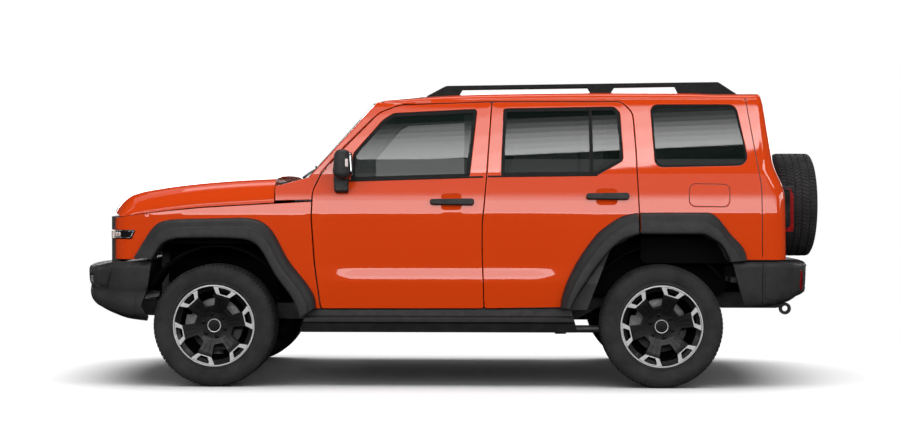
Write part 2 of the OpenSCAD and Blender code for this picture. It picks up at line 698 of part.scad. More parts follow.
module rear_axle() {
    link_y = rail_y + 0.35 * spring_room;
    link_z = tyre_r - 46;
    half = 0.14 * spring_room;
    front_x = rear_axle_x - 605;
    color(metal) union() {
        bar_y(rear_axle_x, -wheel_y + 34, wheel_y - 34, tyre_r, 45);
        bar_y(rear_axle_x, -90, 90, tyre_r, 135);
        translate([rear_axle_x - 250, 0, tyre_r]) rotate([0, 90, 0]) cylinder(h = 250, r = 62);
        both() {
            bar_y(rear_axle_x, -wheel_y + 19, -wheel_y + 44, tyre_r, 62);
            bar_y(rear_axle_x, -wheel_y - 62, -wheel_y + 24, tyre_r, stub_r);
            caliper(rear_axle_x);
            box(rear_axle_x - 20, rear_axle_x + 20, -link_y - half, -link_y + half, link_z - 40,
                link_z + 50);
            translate([front_x - 5, -link_y, link_z]) rotate([0, 90, 0])
                cylinder(h = 610, r = 0.11 * spring_room);
            box(front_x - 35, front_x + 35, -link_y - half, -rail_y - seam, link_z - 30,
                rail_z(front_x) + 85);
            translate([rear_axle_x + 10, -rail_y - spring_room / 2, tyre_r + 30])
                cylinder(h = load_z - tyre_r - 30 - seam, r = 0.21 * spring_room);
        }
    }
}
// Wheel in its own frame, with the outside at +Z
module tyre_shape(r, w, bead) {
    h = w / 2;
    rotate_extrude($fn = 96) polygon([
        [bead - 22, -h + 34], [bead - 2, -h + 24], [bead + 12, -h + 12], [(r + bead) / 2, -h],
        [r - 40, -h + 6],
        [r - 10, -h + 22], [r, -h + 46], [r, h - 46], [r - 10, h - 22], [r - 40, h - 6],
        [(r + bead) / 2, h],
        [bead + 12, h - 12], [bead - 2, h - 24], [bead - 22, h - 34]]);
}
// Rim face: open between the spokes, with a pocket in the end of each spoke
module spoke_face(r) {
    difference() {
        circle(r - 28, $fn = 96);
        for (k = [0:spokes - 1]) rotate(window_turn + 360 * k / spokes) {
            polygon(rounded([
                [0.42 * r, -0.11 * r, 14], [0.78 * r, -0.28 * r, 18], [0.875 * r, -0.19 * r, 8],
                [0.89 * r, 0, 0],
                [0.875 * r, 0.19 * r, 8], [0.78 * r, 0.28 * r, 18], [0.42 * r, 0.11 * r, 14]]));
            rotate(180 / spokes) polygon(rounded([
                [0.79 * r, -0.08 * r, 6], [0.875 * r, -0.155 * r, 6], [0.875 * r, 0.155 * r, 6],
                [0.79 * r, 0.08 * r, 6]]));
        }
    }
}
module rim_shape(r, w, disc) {
    h = w / 2;
    difference() {
        union() {
            rotate_extrude($fn = 96) polygon([
                [r - 38, -h + 18], [r - 6, -h + 18], [r - 6, -h + 25], [r - 22 - seam, -h + 33],
                [r - 22 - seam, h - 33], [r, h - 21.8], [r, h - 14], [r - 10, h - 14], [r - 12, h - 26],
                [r - 38, h - 40]]);
            intersection() {
                translate([0, 0, h - 90]) linear_extrude(80) spoke_face(r);
                rotate_extrude($fn = 96) polygon([
                    [0, h - 84], [r - 30, h - 66], [r - 12, h - 66], [r - 12, h - 22], [r - 60, h - 22],
                    [80, h - 46], [0, h - 46]]);
            }
            translate([0, 0, -12]) cylinder(h = h - 60, r = 76);
            if (disc > 0) translate([0, 0, -7]) cylinder(h = 14, r = disc);
        }
        translate([0, 0, -40]) cylinder(h = 40 + 64, r = stub_r + run_gap);
    }
}
// Wheel frame set on the car at one axle and side
module at_wheel(x, s) {
    translate([x, s * wheel_y, tyre_r]) rotate([s < 0 ? 90 : -90, 0, 0]) children();
}
module tyre_front_left() { color(rubber) at_wheel(front_axle_x, -1) tyre_shape(tyre_r, tyre_w, rim_r); }
module tyre_front_right() { color(rubber) at_wheel(front_axle_x, 1) tyre_shape(tyre_r, tyre_w, rim_r); }
module tyre_rear_left() { color(rubber) at_wheel(rear_axle_x, -1) tyre_shape(tyre_r, tyre_w, rim_r); }
module tyre_rear_right() { color(rubber) at_wheel(rear_axle_x, 1) tyre_shape(tyre_r, tyre_w, rim_r); }
module rim_front_left() { color(metal) at_wheel(front_axle_x, -1) rim_shape(rim_r, tyre_w, disc_r); }
module rim_front_right() { color(metal) at_wheel(front_axle_x, 1) rim_shape(rim_r, tyre_w, disc_r); }
module rim_rear_left() { color(metal) at_wheel(rear_axle_x, -1) rim_shape(rim_r, tyre_w, disc_r); }
module rim_rear_right() { color(metal) at_wheel(rear_axle_x, 1) rim_shape(rim_r, tyre_w, disc_r); }

// Cabin

module seats() {
    bench_y = wheel_y - 214;
    front = sited([
        [-160, seat_z, 40], [-190, 800, 40], [-160, 880, 60], [250, 850, 60], [330, 1330, 40],
        [400, 1340, 30],
        [345, 860, 40], [300, seat_z, 40]]);
    head = sited([[345, 1370, 40], [350, 1540, 40], [420, 1550, 40], [440, 1375, 40]]);
    rear = sited([
        [610, seat_z, 40], [600, 850, 60], [960, 820, 60], [1090, 1300, 40], [1160, 1300, 30],
        [1070, 760, 40],
        [1010, seat_z, 40]]);
    color(rubber) {
        for (s = [-1, 1]) {
            union() {
                side_prism(rounded(front), s * seat_y - 250, s * seat_y + 250);
                side_prism(rounded(head), s * seat_y - 130, s * seat_y + 130);
                for (y = [-60, 60]) translate([along(375), s * seat_y + y, 1300]) cylinder(h = 100, r = 8);
            }
            box(along(-100), along(260), s * seat_y - 180, s * seat_y + 180, floor_z + floor_t + seam,
                seat_z - seam);
        }
        side_prism(rounded(rear), -bench_y, bench_y);
        box(along(640), along(765), -bench_y + 30, bench_y - 30, floor_z + floor_t + seam, seat_z - seam);
    }
}
module dashboard() {
    profile = [
        [-770 + seam, 1000, 0], [-770 + seam, 1222, 0], [-700, 1226, 20], [-520, 1210, 60],
        [-480, 1120, 40],
        [-540, 1010, 40], [-600, 900, 60], [-700, 900, 40]];
    color(rubber) union() {
        side_prism(rounded(profile), -700, 700);
        translate([helm_x, helm_y, helm_z]) rotate([0, -90 - helm_tilt, 0]) translate([0, 0, 30]) {
            cylinder(h = 150, r = 32);
            translate([0, 0, -44]) cylinder(h = 54, r = 12);
        }
    }
    color(rubber) box(-500, along(260), -105, 105, floor_z + floor_t + seam, 770);
}
module steering_wheel() {
    color(rubber) translate([helm_x, helm_y, helm_z]) rotate([0, -90 - helm_tilt, 0]) difference() {
        union() {
            rotate_extrude() translate([helm_r - 17, 0]) circle(16, $fn = 24);
            translate([0, 0, -28]) cylinder(h = 50, r = 62);
            for (a = [0, 130, 230]) rotate(a) translate([40, -20, -10]) cube([helm_r - 60, 40, 16]);
        }
        translate([0, 0, -15]) cylinder(h = 60, r = 12 + run_gap);
    }
}

// Doors and lids

// Hinge between the wall and a door: pin, two plates and the arm to the pillar
module door_hinge(i, z) {
    x = hinge_x(i);
    for (s = [-1, 1]) {
        translate([x, -hinge_y, z + s * 19 - 5]) cylinder(h = 10, r = 11);
        box(x - 9, x + 9, -hinge_y, -771, z + s * 19 - 5, z + s * 19 + 5);
    }
    translate([x, -hinge_y, z - 24]) cylinder(h = 48, r = hinge_pin_r);
    box(pillar_x(i) + seam, x + 9, -782, -771, z - 24, z + 24);
}
// Bonnet hinge on the left, between the cowl and the bonnet
module bonnet_hinge() {
    for (s = [-1, 1]) {
        y = -bonnet_hinge_y + s * 19;
        bar_y(bonnet_hinge_x, y - 5, y + 5, bonnet_hinge_z, 13);
        box(bonnet_hinge_x, -1030 - seam, y - 5, y + 5, bonnet_hinge_z - 13, bonnet_hinge_z + 6);
    }
    bar_y(bonnet_hinge_x, -bonnet_hinge_y - 24, -bonnet_hinge_y + 24, bonnet_hinge_z, lid_pin_r);
}
// Tailgate hinge on the right rear corner
module gate_hinge(z) {
    for (s = [-1, 1]) {
        low = z + s * 24 - 6;
        translate([gate_x, gate_hinge_y, low]) cylinder(h = 12, r = 18);
        box(max(rear_x(low), rear_x(low + 12)) + seam, gate_x, gate_hinge_y, gate_hinge_y + 34, low,
            low + 12);
    }
    translate([gate_x, gate_hinge_y, z - 30]) cylinder(h = 60, r = lid_pin_r);
}
module hinge_brackets() {
    color(metal) {
        both() for (i = [0:1], z = HINGE_Z) door_hinge(i, z);
        both() bonnet_hinge();
        for (z = GATE_HINGE_Z) gate_hinge(z);
    }
}
// Left door: skin over the pillars, inner box, hinge eyes
module door(i, window) {
    x = hinge_x(i);
    color(paint) difference() {
        union() {
            difference() {
                union() {
                    intersection() {
                        through_left() door_shape(i);
                        wall(-900, along(1300), sill_z, 1762, 0, flange_t);
                    }
                    intersection() {
                        through_left() door_box_shape(i, 0);
                        wall(-900, along(1300), sill_z, 1750, flange_t - 1);
                    }
                }
                through_left() polygon(rounded(sited(window)));
                for (z = HINGE_Z) {
                    translate([x, -hinge_y, z - 31]) cylinder(h = 62, r = 16);
                    box(x - 60, x + 30, -hinge_y - 4, -700, z - 31, z + 31);
                }
            }
            for (z = HINGE_Z) {
                translate([x, -hinge_y, z - 13]) cylinder(h = 26, r = 13);
                box(x, x + 34, -hinge_y - 2, -hinge_y + 16, z - 13, z + 13);
            }
        }
        for (z = HINGE_Z) translate([x, -hinge_y, z - 32]) cylinder(h = 64, r = hinge_pin_r + run_gap);
    }
}
module handle(x0, x1, z) {
    color(plastic) union() {
        box(x0, x1, -skin_y(z) - 36, -skin_y(z) - 22, z - 18, z + 18);
        intersection() {
            wall(x0, x1, z - 16, z + 16, -30, -seam);
            for (x = [x0 + 4, x1 - 44]) box(x, x + 40, -1000, -700, z - 17, z + 17);
        }
    }
}
module mirror_shape() {
    color(plastic) union() {
        side_prism(rounded([[-683, 1275, 30], [-670, 1461, 40], [-572, 1455, 30], [-564, 1268, 30]]),
            -1060, -880);
        intersection() {
            side_prism([[-676, 1180], [-690, 1300], [-600, 1300], [-592, 1180]], -1000, -780);
            wall(-720, -560, 1175, 1305, -110, -seam);
        }
    }
}
module front_trim() {
    handle(along(-98), along(172), 1137);
    mirror_shape();
}
module rear_trim() {
    handle(along(860), along(1123), 1170);
    color(plastic) flare(REAR_FLARE_DOOR);
}
module front_door_left() { door(0, FRONT_WINDOW); }
module front_door_right() { mirror([0, 1, 0]) door(0, FRONT_WINDOW); }
module rear_door_left() { door(1, REAR_WINDOW); }
module rear_door_right() { mirror([0, 1, 0]) door(1, REAR_WINDOW); }
module front_glass_left() { pane(rounded(sited(FRONT_WINDOW)), seam); }
module front_glass_right() { mirror([0, 1, 0]) pane(rounded(sited(FRONT_WINDOW)), seam); }
module rear_glass_left() { pane(rounded(sited(REAR_WINDOW)), seam); }
module rear_glass_right() { mirror([0, 1, 0]) pane(rounded(sited(REAR_WINDOW)), seam); }
module front_trim_left() { front_trim(); }
module front_trim_right() { mirror([0, 1, 0]) front_trim(); }
module rear_trim_left() { rear_trim(); }
module rear_trim_right() { mirror([0, 1, 0]) rear_trim(); }

// Bonnet rows: share of the length from the front, height in the middle, height of the side shut line
BONNET = [
    [0, 1090, 1048], [0.02, 1112, 1050], [0.06, 1146, 1055], [0.11, 1176, 1062], [0.3, 1216, 1085],
    [0.55, 1246, 1108], [0.8, 1264, 1122], [1, 1276, 1134]];
// Bonnet columns on one side: distance from the middle, drop on top, share of the way down the side,
// turn in degrees
ACROSS = [
    [0, 0, 0, 0], [250, 2, 0, 0], [500, 8, 0, 0], [690, 18, 0, 0], [760, 24, 0, 0], [800, 30, 0.12, 30],
    [846, 30, 0.55, 60], [868, 30, 0.85, 80], [872, 30, 1, 90]];
function bonnet_point(r, c, s, deep) =
    let (top = r[1] - c[1], z = top + (r[2] - top) * c[2],
        x0 = nose_x(min(760, c[0])) - 4 + (c[0] > 760 ? (c[0] - 760) * 0.42 : 0))
    [x0 + (bonnet_end - x0) * r[0], s * (c[0] - deep * sin(c[3])),
    z - deep * cos(c[3]) * min(1, 0.3 + 10 * r[0])];
function bonnet_grid(deep) = [for (r = BONNET) [
    each [for (i = [len(ACROSS) - 1:-1:1]) bonnet_point(r, ACROSS[i], -1, deep)],
    each [for (c = ACROSS) bonnet_point(r, c, 1, deep)]]];
module bonnet() {
    y = bonnet_hinge_y;
    color(paint) {
        panel(bonnet_grid(0), bonnet_grid(bonnet_t));
        both() difference() {
            union() {
                bar_y(bonnet_hinge_x, -y - 13, -y + 13, bonnet_hinge_z, 14);
                box(bonnet_hinge_x - 14, bonnet_hinge_x + 10, -y - 13, -y + 13, 1214, bonnet_hinge_z);
                box(bonnet_end - 60, bonnet_hinge_x, -y - 13, -y + 13, 1214, 1230);
            }
            bar_y(bonnet_hinge_x, -y - 30, -y + 30, bonnet_hinge_z, lid_pin_r + run_gap);
        }
    }
}
module tailgate() {
    zs = [gate_z, 798, 1182, 1234, 1356, 1758];
    line = concat([for (z = zs) [rear_x(z), z]], [for (i = [len(zs) - 1:-1:0]) [rear_x(zs[i]) - gate_t,
        zs[i]]]);
    half = ditch_y - shut_gap;
    carrier_x = along(2000);
    color(paint) difference() {
        union() {
            side_prism(line, -half, half);
            translate([carrier_x, 0, spare_z]) rotate([0, 90, 0])
                cylinder(h = spare_mid - 12 - seam - carrier_x, r = 70);
            for (z = GATE_HINGE_Z) {
                translate([gate_x, gate_hinge_y, z - 17]) cylinder(h = 34, r = 20);
                box(rear_x(z) - 20, gate_x + 8, gate_hinge_y - 110, -shut_gap + ditch_y, z - 17, z + 17);
                box(gate_x - 14, gate_x + 8, gate_hinge_y - 110, gate_hinge_y, z - 17, z + 17);
            }
        }
        for (z = GATE_HINGE_Z) translate([gate_x, gate_hinge_y, z - 40])
            cylinder(h = 80, r = lid_pin_r + run_gap);
        translate([split_x, 0, 0]) rotate([90, 0, 90]) linear_extrude(500) polygon(rounded(GATE_WINDOW));
    }
}
module tailgate_glass() {
    zs = [1300, 1356, 1758];
    function face(d) = [for (z = zs) [rear_x(z) - d, z]];
    color(clear) intersection() {
        side_prism(concat(face(10), [for (i = [2:-1:0]) face(10 + glass_t)[i]]), -600, 600);
        translate([split_x, 0, 0]) rotate([90, 0, 90]) linear_extrude(500)
            offset(delta = -seam) polygon(rounded(GATE_WINDOW));
    }
}
module at_spare() {
    translate([spare_mid, 0, spare_z]) rotate([0, 90, 0]) children();
}
module spare_tyre() {
    color(rubber) at_spare() tyre_shape(spare_r, spare_w, spare_rim_r);
}
module spare_rim() {
    color(metal) at_spare() rim_shape(spare_rim_r, spare_w, 0);
}

frame_rails();
cross_members();
floor_pan();
body_side_left();
body_side_right();
roof_panel();
front_wings();
fixed_glass();
cowl_panel();
grille_panel();
headlamps();
front_bumper();
rear_bumper();
tail_lamps();
wheel_flares();
side_steps();
roof_rails();
wheel_liners();
engine_gearbox();
fuel_tank();
exhaust();
front_suspension();
rear_axle();
seats();
dashboard();
hinge_brackets();
tow_eye();
bonnet();
front_door_left();
front_door_right();
front_glass_left();
front_glass_right();
front_trim_left();
front_trim_right();
rear_door_left();
rear_door_right();
rear_glass_left();
rear_glass_right();
rear_trim_left();
rear_trim_right();
tailgate();
tailgate_glass();
spare_tyre();
spare_rim();
steering_wheel();
knuckle_left();
knuckle_right();
tyre_front_left();
tyre_front_right();
tyre_rear_left();
tyre_rear_right();
rim_front_left();
rim_front_right();
rim_rear_left();
rim_rear_right();
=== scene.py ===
"""Looks of a five-door off-road estate car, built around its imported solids.

Tables are in millimetres, like the part's source: X is the length with the front at -X, Y the width with
the left side at -Y, Z is up from the ground. Meshes are turned into metres when they are made.
"""
import math

import bpy
import numpy as np
from mathutils import Euler, Matrix, Vector
from mathutils.geometry import delaunay_2d_cdt


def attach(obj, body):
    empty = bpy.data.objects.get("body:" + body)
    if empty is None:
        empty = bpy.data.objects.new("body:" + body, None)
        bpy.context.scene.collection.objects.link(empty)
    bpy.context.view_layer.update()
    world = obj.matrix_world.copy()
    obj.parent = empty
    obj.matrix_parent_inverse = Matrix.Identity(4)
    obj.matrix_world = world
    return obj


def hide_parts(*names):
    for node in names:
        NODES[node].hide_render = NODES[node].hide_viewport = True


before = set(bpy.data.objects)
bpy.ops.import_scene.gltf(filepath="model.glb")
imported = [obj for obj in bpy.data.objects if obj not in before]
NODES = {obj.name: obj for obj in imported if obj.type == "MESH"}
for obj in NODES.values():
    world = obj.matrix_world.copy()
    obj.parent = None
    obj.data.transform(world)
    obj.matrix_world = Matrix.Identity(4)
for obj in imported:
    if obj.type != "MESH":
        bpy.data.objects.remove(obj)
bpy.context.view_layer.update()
MM = 0.001
PROUD = 2.6  # how far the painted skins stand out from the solids behind them
FRONT_AXLE, REAR_AXLE, WHEEL_Y, TYRE_R, TYRE_W, RIM_R = -1430, 1320, 804, 376, 265, 252
SPARE_X, SPARE_Z, SPARE_R, SPARE_W, SPARE_RIM_R = 2252.5, 1114, 338, 255, 230
DITCH_Y = 640  # half width of the roof between its ditches, and of the tailgate's opening
GAP = 7  # between doors and body
SIDES = ("left", "right")


def both_sides(name):
    return tuple(f"{name}_{side}" for side in SIDES)


BODY, FRONT_DOORS, REAR_DOORS = ("body", "body"), both_sides("front_door"), both_sides("rear_door")


# Camera

CAMERA_LENS, CAMERA_PLACE = 67.4, (0.334, -11.233, 1.218)
CAMERA_DOWN, CAMERA_TURN = 0.0134, 0.0299  # radians, down and towards the front


def add_camera():
    """The photograph's view: a long lens beside the left door, turned a little towards the front."""
    lens = bpy.data.cameras.new("camera")
    lens.sensor_width, lens.lens = 36, CAMERA_LENS
    camera = bpy.data.objects.new("camera", lens)
    camera.location = CAMERA_PLACE
    camera.rotation_euler = Euler((math.pi / 2 - CAMERA_DOWN, 0, CAMERA_TURN))
    bpy.context.scene.collection.objects.link(camera)
    bpy.context.scene.camera = camera


# Materials


def material(name, colour, rough, metal=0.0, **sockets):
    """A principled material; sockets are further values by name, such as Coat_Weight."""
    m = bpy.data.materials.new(name)
    m.use_nodes = True
    shader = m.node_tree.nodes["Principled BSDF"]
    shader.inputs["Base Color"].default_value = (*colour, 1)
    shader.inputs["Roughness"].default_value = rough
    shader.inputs["Metallic"].default_value = metal
    for key, value in sockets.items():
        shader.inputs[key.replace("_", " ")].default_value = value
    return m


def add_node(m, kind, **values):
    """A node with its input values, or its settings where the name is lower case."""
    node = m.node_tree.nodes.new(kind)
    for key, value in values.items():
        if key[0].islower():
            setattr(node, key, value)
        else:
            node.inputs[key.replace("_", " ")].default_value = value
    return node


def noise(m, scale, detail=3.0, stretch=(1, 1, 1)):
    """Noise in the part's own coordinates, so it stays in place when a body moves."""
    place = add_node(m, "ShaderNodeTexCoord")
    size = add_node(m, "ShaderNodeMapping", Scale=stretch)
    node = add_node(m, "ShaderNodeTexNoise", Scale=scale, Detail=detail)
    link(m, place.outputs["Object"], size.inputs["Vector"])
    link(m, size.outputs["Vector"], node.inputs["Vector"])
    return node.outputs["Fac"]


def link(m, out, into):
    m.node_tree.links.new(out, into)


def shader_of(m):
    return m.node_tree.nodes["Principled BSDF"]


def vary_rough(m, scale, low, high, stretch=(1, 1, 1)):
    """Roughness that wanders between two values."""
    span = add_node(m, "ShaderNodeMapRange", From_Min=0.3, From_Max=0.7, To_Min=low, To_Max=high)
    link(m, noise(m, scale, 4.0, stretch), span.inputs["Value"])
    link(m, span.outputs["Result"], shader_of(m).inputs["Roughness"])
    return m


def vary_colour(m, scale, first, second, stretch=(1, 1, 1), low=0.35, high=0.65):
    """Base colour that wanders between two colours."""
    ramp = add_node(m, "ShaderNodeValToRGB")
    ramp.color_ramp.elements[0].position = low
    ramp.color_ramp.elements[1].position = high
    ramp.color_ramp.elements[0].color = (*first, 1)
    ramp.color_ramp.elements[1].color = (*second, 1)
    link(m, noise(m, scale, 5.0, stretch), ramp.inputs["Fac"])
    link(m, ramp.outputs["Color"], shader_of(m).inputs["Base Color"])
    return m


def grain(m, scale, strength, distance=0.0005, stretch=(1, 1, 1)):
    """Fine bump."""
    bump = add_node(m, "ShaderNodeBump", Strength=strength, Distance=distance)
    link(m, noise(m, scale, 2.0, stretch), bump.inputs["Height"])
    link(m, bump.outputs["Normal"], shader_of(m).inputs["Normal"])
    return m


def weave(m, scale, strength):
    """Bump of woven cloth from two crossed waves."""
    place = add_node(m, "ShaderNodeTexCoord")
    bump = add_node(m, "ShaderNodeBump", Strength=strength, Distance=0.0006)
    total = add_node(m, "ShaderNodeMath", operation="MAXIMUM")
    for i, axis in enumerate("XZ"):
        wave = add_node(m, "ShaderNodeTexWave", bands_direction=axis, Scale=scale, Distortion=0.4)
        link(m, place.outputs["Object"], wave.inputs["Vector"])
        link(m, wave.outputs["Fac"], total.inputs[i])
    link(m, total.outputs["Value"], bump.inputs["Height"])
    link(m, bump.outputs["Normal"], shader_of(m).inputs["Normal"])
    return m


# Finishes: key, name, colour, roughness, metal, further sockets, and what wanders over the surface: the colour
# (scale, two colours), the roughness (scale, two values) and the bump (scale, strength, distance)
FINISHES = [
    ("paint", "paint", (0.60, 0.047, 0.002), 0.5, 0,
     {"Coat_Weight": 1.0, "Coat_Roughness": 0.03, "Specular_IOR_Level": 0.05},
     (900, (0.57, 0.043, 0.001), (0.64, 0.052, 0.004)), None, (260, 0.03, 0.0002)),
    # A darker copy of the paint for the bonnet's inside, frame and edges: painted shade.
    ("inner_paint", "inner_paint", (0.32, 0.02, 0.001), 0.5, 0, {},
     (30, (0.28, 0.016, 0.001), (0.36, 0.024, 0.001)), None, None),
    ("plastic", "grained_plastic", (0.013, 0.013, 0.014), 0.6, 0, {"Specular_IOR_Level": 0.4},
     (14, (0.010, 0.010, 0.011), (0.016, 0.016, 0.017)), (40, 0.5, 0.66), (1500, 0.35, 0.0006)),
    ("dark", "dark_plastic", (0.012, 0.012, 0.012), 0.6, 0, {}, None, (60, 0.5, 0.7), (900, 0.3)),
    ("band", "window_band", (0.006, 0.006, 0.006), 0.55, 0, {"Specular_IOR_Level": 0.15}, None, (40, 0.45, 0.65), None),
    ("gloss", "gloss_black", (0.008, 0.008, 0.009), 0.14, 0, {"Coat_Weight": 0.6, "Coat_Roughness": 0.05},
     None, (12, 0.1, 0.2), None),
    ("seal", "rubber_seal", (0.010, 0.010, 0.010), 0.7, 0, {}, None, None, (700, 0.25)),
    ("arch", "arch_lining", (0.0025, 0.0025, 0.0025), 0.95, 0, {"Specular_IOR_Level": 0.05}, None, None, (500, 0.3)),
    ("tyre", "tyre_rubber", (0.020, 0.020, 0.021), 0.8, 0, {"Specular_IOR_Level": 0.3},
     (9, (0.016, 0.016, 0.017), (0.027, 0.027, 0.027)), (25, 0.7, 0.9), (700, 0.3)),
    ("black_alloy", "black_alloy", (0.004, 0.004, 0.0045), 0.4, 0, {"Specular_IOR_Level": 0.25, "Coat_Weight": 0.1},
     None, (30, 0.35, 0.5), None),
    ("machined", "machined_alloy", (0.66, 0.66, 0.66), 0.4, 0.45, {}, None, (80, 0.28, 0.42), (900, 0.12)),
    ("chrome", "bright_metal", (0.75, 0.75, 0.76), 0.14, 1, {}, None, (20, 0.1, 0.2), None),
    ("disc", "brake_steel", (0.13, 0.13, 0.13), 0.5, 0.7, {}, None, (60, 0.42, 0.6), (400, 0.15)),
    ("cast", "cast_metal", (0.20, 0.20, 0.20), 0.55, 0.8, {},
     (18, (0.15, 0.15, 0.15), (0.24, 0.24, 0.24)), None, (260, 0.4)),
    ("coated", "coated_steel", (0.022, 0.022, 0.023), 0.55, 0, {},
     (22, (0.016, 0.016, 0.017), (0.032, 0.031, 0.030)), None, (300, 0.3)),
    ("glass", "glass", (0.010, 0.018, 0.015), 0.02, 0, {"Alpha": 0.46, "Specular_IOR_Level": 0.6},
     None, (3, 0.01, 0.03), None),
    ("dark_glass", "dark_glass", (0.006, 0.010, 0.008), 0.02, 0, {"Alpha": 0.7, "Specular_IOR_Level": 0.6},
     None, (3, 0.01, 0.03), None),
    ("lens", "clear_lens", (0.9, 0.9, 0.9), 0.05, 0, {"Alpha": 0.25, "Specular_IOR_Level": 0.7},
     None, (30, 0.03, 0.08), None),
    ("red", "red_lens", (0.20, 0.004, 0.006), 0.12, 0, {"Coat_Weight": 1.0, "Coat_Roughness": 0.04},
     (60, (0.15, 0.003, 0.004), (0.26, 0.006, 0.008)), None, (120, 0.3)),
    ("lamp", "lamp_reflector", (0.78, 0.78, 0.8), 0.18, 1, {}, None, (60, 0.12, 0.25), (160, 0.4)),
    ("side_lamp", "side_lamp", (0.62, 0.50, 0.46), 0.15, 0, {"Coat_Weight": 1.0},
     (60, (0.45, 0.36, 0.33), (0.75, 0.66, 0.62)), None, (90, 0.5)),
    ("cloth", "seat_cloth", (0.020, 0.020, 0.021), 0.85, 0, {"Sheen_Weight": 0.3},
     (500, (0.014, 0.014, 0.015), (0.030, 0.030, 0.031)), None, None),
    ("hide", "seat_hide", (0.018, 0.017, 0.017), 0.5, 0, {}, None, (20, 0.42, 0.6), (420, 0.35)),
    ("trim", "cabin_trim", (0.024, 0.024, 0.026), 0.62, 0, {},
     (12, (0.020, 0.020, 0.022), (0.030, 0.030, 0.032)), None, (900, 0.3))]


def make_materials():
    """Every finish on the car, by its key."""
    made = {}
    for key, name, colour, rough, metal, sockets, tints, sheen, bump in FINISHES:
        made[key] = m = material(name, colour, rough, metal, **sockets)
        for vary, values in ((vary_colour, tints), (vary_rough, sheen), (grain, bump)):
            if values:
                vary(m, *values)
    weave(made["cloth"], 260, 0.5)
    return made


MATS = make_materials()


# Numbers and outlines


def spline(knots, q):
    """Smooth curve through rows of (place, value, ...) that doesn't overshoot, read at the places q."""
    k = np.asarray(knots, float)
    t, v = k[:, 0], k[:, 1:]
    h = np.diff(t)[:, None]
    d = np.diff(v, axis=0) / h
    m = np.zeros_like(v)
    m[0], m[-1] = d[0], d[-1]
    if len(t) > 2:
        w1, w2 = 2 * h[1:] + h[:-1], h[1:] + 2 * h[:-1]
        same = d[:-1] * d[1:] > 0
        m[1:-1] = np.where(same, (w1 + w2) * d[:-1] * d[1:] / np.where(same, w1 * d[1:] + w2 * d[:-1], 1), 0)
    q = np.clip(np.asarray(q, float), t[0], t[-1])
    i = np.clip(np.searchsorted(t, q) - 1, 0, len(t) - 2)
    width = (t[i + 1] - t[i])[..., None]
    s = (q - t[i])[..., None] / width
    return ((1 + 2 * s) * (1 - s) ** 2 * v[i] + s * (1 - s) ** 2 * width * m[i]
            + s * s * (3 - 2 * s) * v[i + 1] + s * s * (s - 1) * width * m[i + 1])


def rounded(table, steps=7):
    """Outline with its corners rounded, from rows of two coordinates and a radius."""
    out, n = [], len(table)
    for i in range(n):
        a, p, b = (np.array(table[j % n][:2], float) for j in (i - 1, i, i + 1))
        u, w = (a - p) / np.linalg.norm(a - p), (b - p) / np.linalg.norm(b - p)
        half = math.acos(max(-1.0, min(1.0, float(u @ w)))) / 2
        r = table[i][2]
        if r <= 0 or half > math.radians(89.5):
            out.append(p)
            continue
        reach = min(r / math.tan(half), np.linalg.norm(a - p) * 0.48, np.linalg.norm(b - p) * 0.48)
        rr = reach * math.tan(half)
        c = p + (u + w) / np.linalg.norm(u + w) * rr / math.sin(half)
        s, e = p + u * reach - c, p + w * reach - c
        a0 = math.atan2(s[1], s[0])
        turn = (math.atan2(e[1], e[0]) - a0 + math.pi) % (2 * math.pi) - math.pi
        for k in range(steps + 1):
            angle = a0 + turn * k / steps
            out.append(c + rr * np.array([math.cos(angle), math.sin(angle)]))
    return np.array(out)


def points(outline):
    """Points of an outline that is given as a table or as points."""
    return rounded(outline) if len(outline[0]) == 3 else np.asarray(outline, float)


def block(x0, x1, y0, y1, r=40):
    """Table of a rectangle."""
    return [[x0, y0, r], [x1, y0, r], [x1, y1, r], [x0, y1, r]]


def area(p):
    x, y = p[:, 0], p[:, 1]
    return 0.5 * float(np.sum(x * np.roll(y, -1) - np.roll(x, -1) * y))


def turned(p, anticlockwise=True):
    return p if (area(p) > 0) == anticlockwise else p[::-1].copy()


def resampled(p, step):
    """Closed outline with no edge longer than step."""
    out = []
    for a, b in zip(p, np.roll(p, -1, 0)):
        n = max(1, int(math.ceil(np.linalg.norm(b - a) / step)))
        out += [a + (b - a) * k / n for k in range(n)]
    out = np.array(out)
    keep = np.linalg.norm(out - np.roll(out, 1, 0), axis=1) > 0.05
    return out[keep]


def normals_of(p):
    """Unit normals of a closed loop, to the right of its way round."""
    e = np.roll(p, -1, 0) - p
    e /= np.linalg.norm(e, axis=1)[:, None]
    t = e + np.roll(e, 1, 0)
    t /= np.maximum(np.linalg.norm(t, axis=1), 1e-9)[:, None]
    return np.stack([t[:, 1], -t[:, 0]], 1)


def grown(outline, d):
    """Outline moved outwards by d, anticlockwise."""
    p = turned(points(outline))
    return p + normals_of(p) * d


def inset(table, d):
    """Outline table with its sides moved in by d and its corner radii made less by d."""
    p = np.array([row[:2] for row in table], float)
    sign = 1 if area(p) > 0 else -1
    n, out = len(p), []
    for i in range(n):
        lines = []
        for a, b in ((p[i - 1], p[i]), (p[i], p[(i + 1) % n])):
            e = (b - a) / np.linalg.norm(b - a)
            inward = sign * np.array([-e[1], e[0]])
            lines.append((inward, inward @ a + d))
        out.append([*np.linalg.solve([lines[0][0], lines[1][0]], [lines[0][1], lines[1][1]]), max(table[i][2] - d, 4)])
    return out


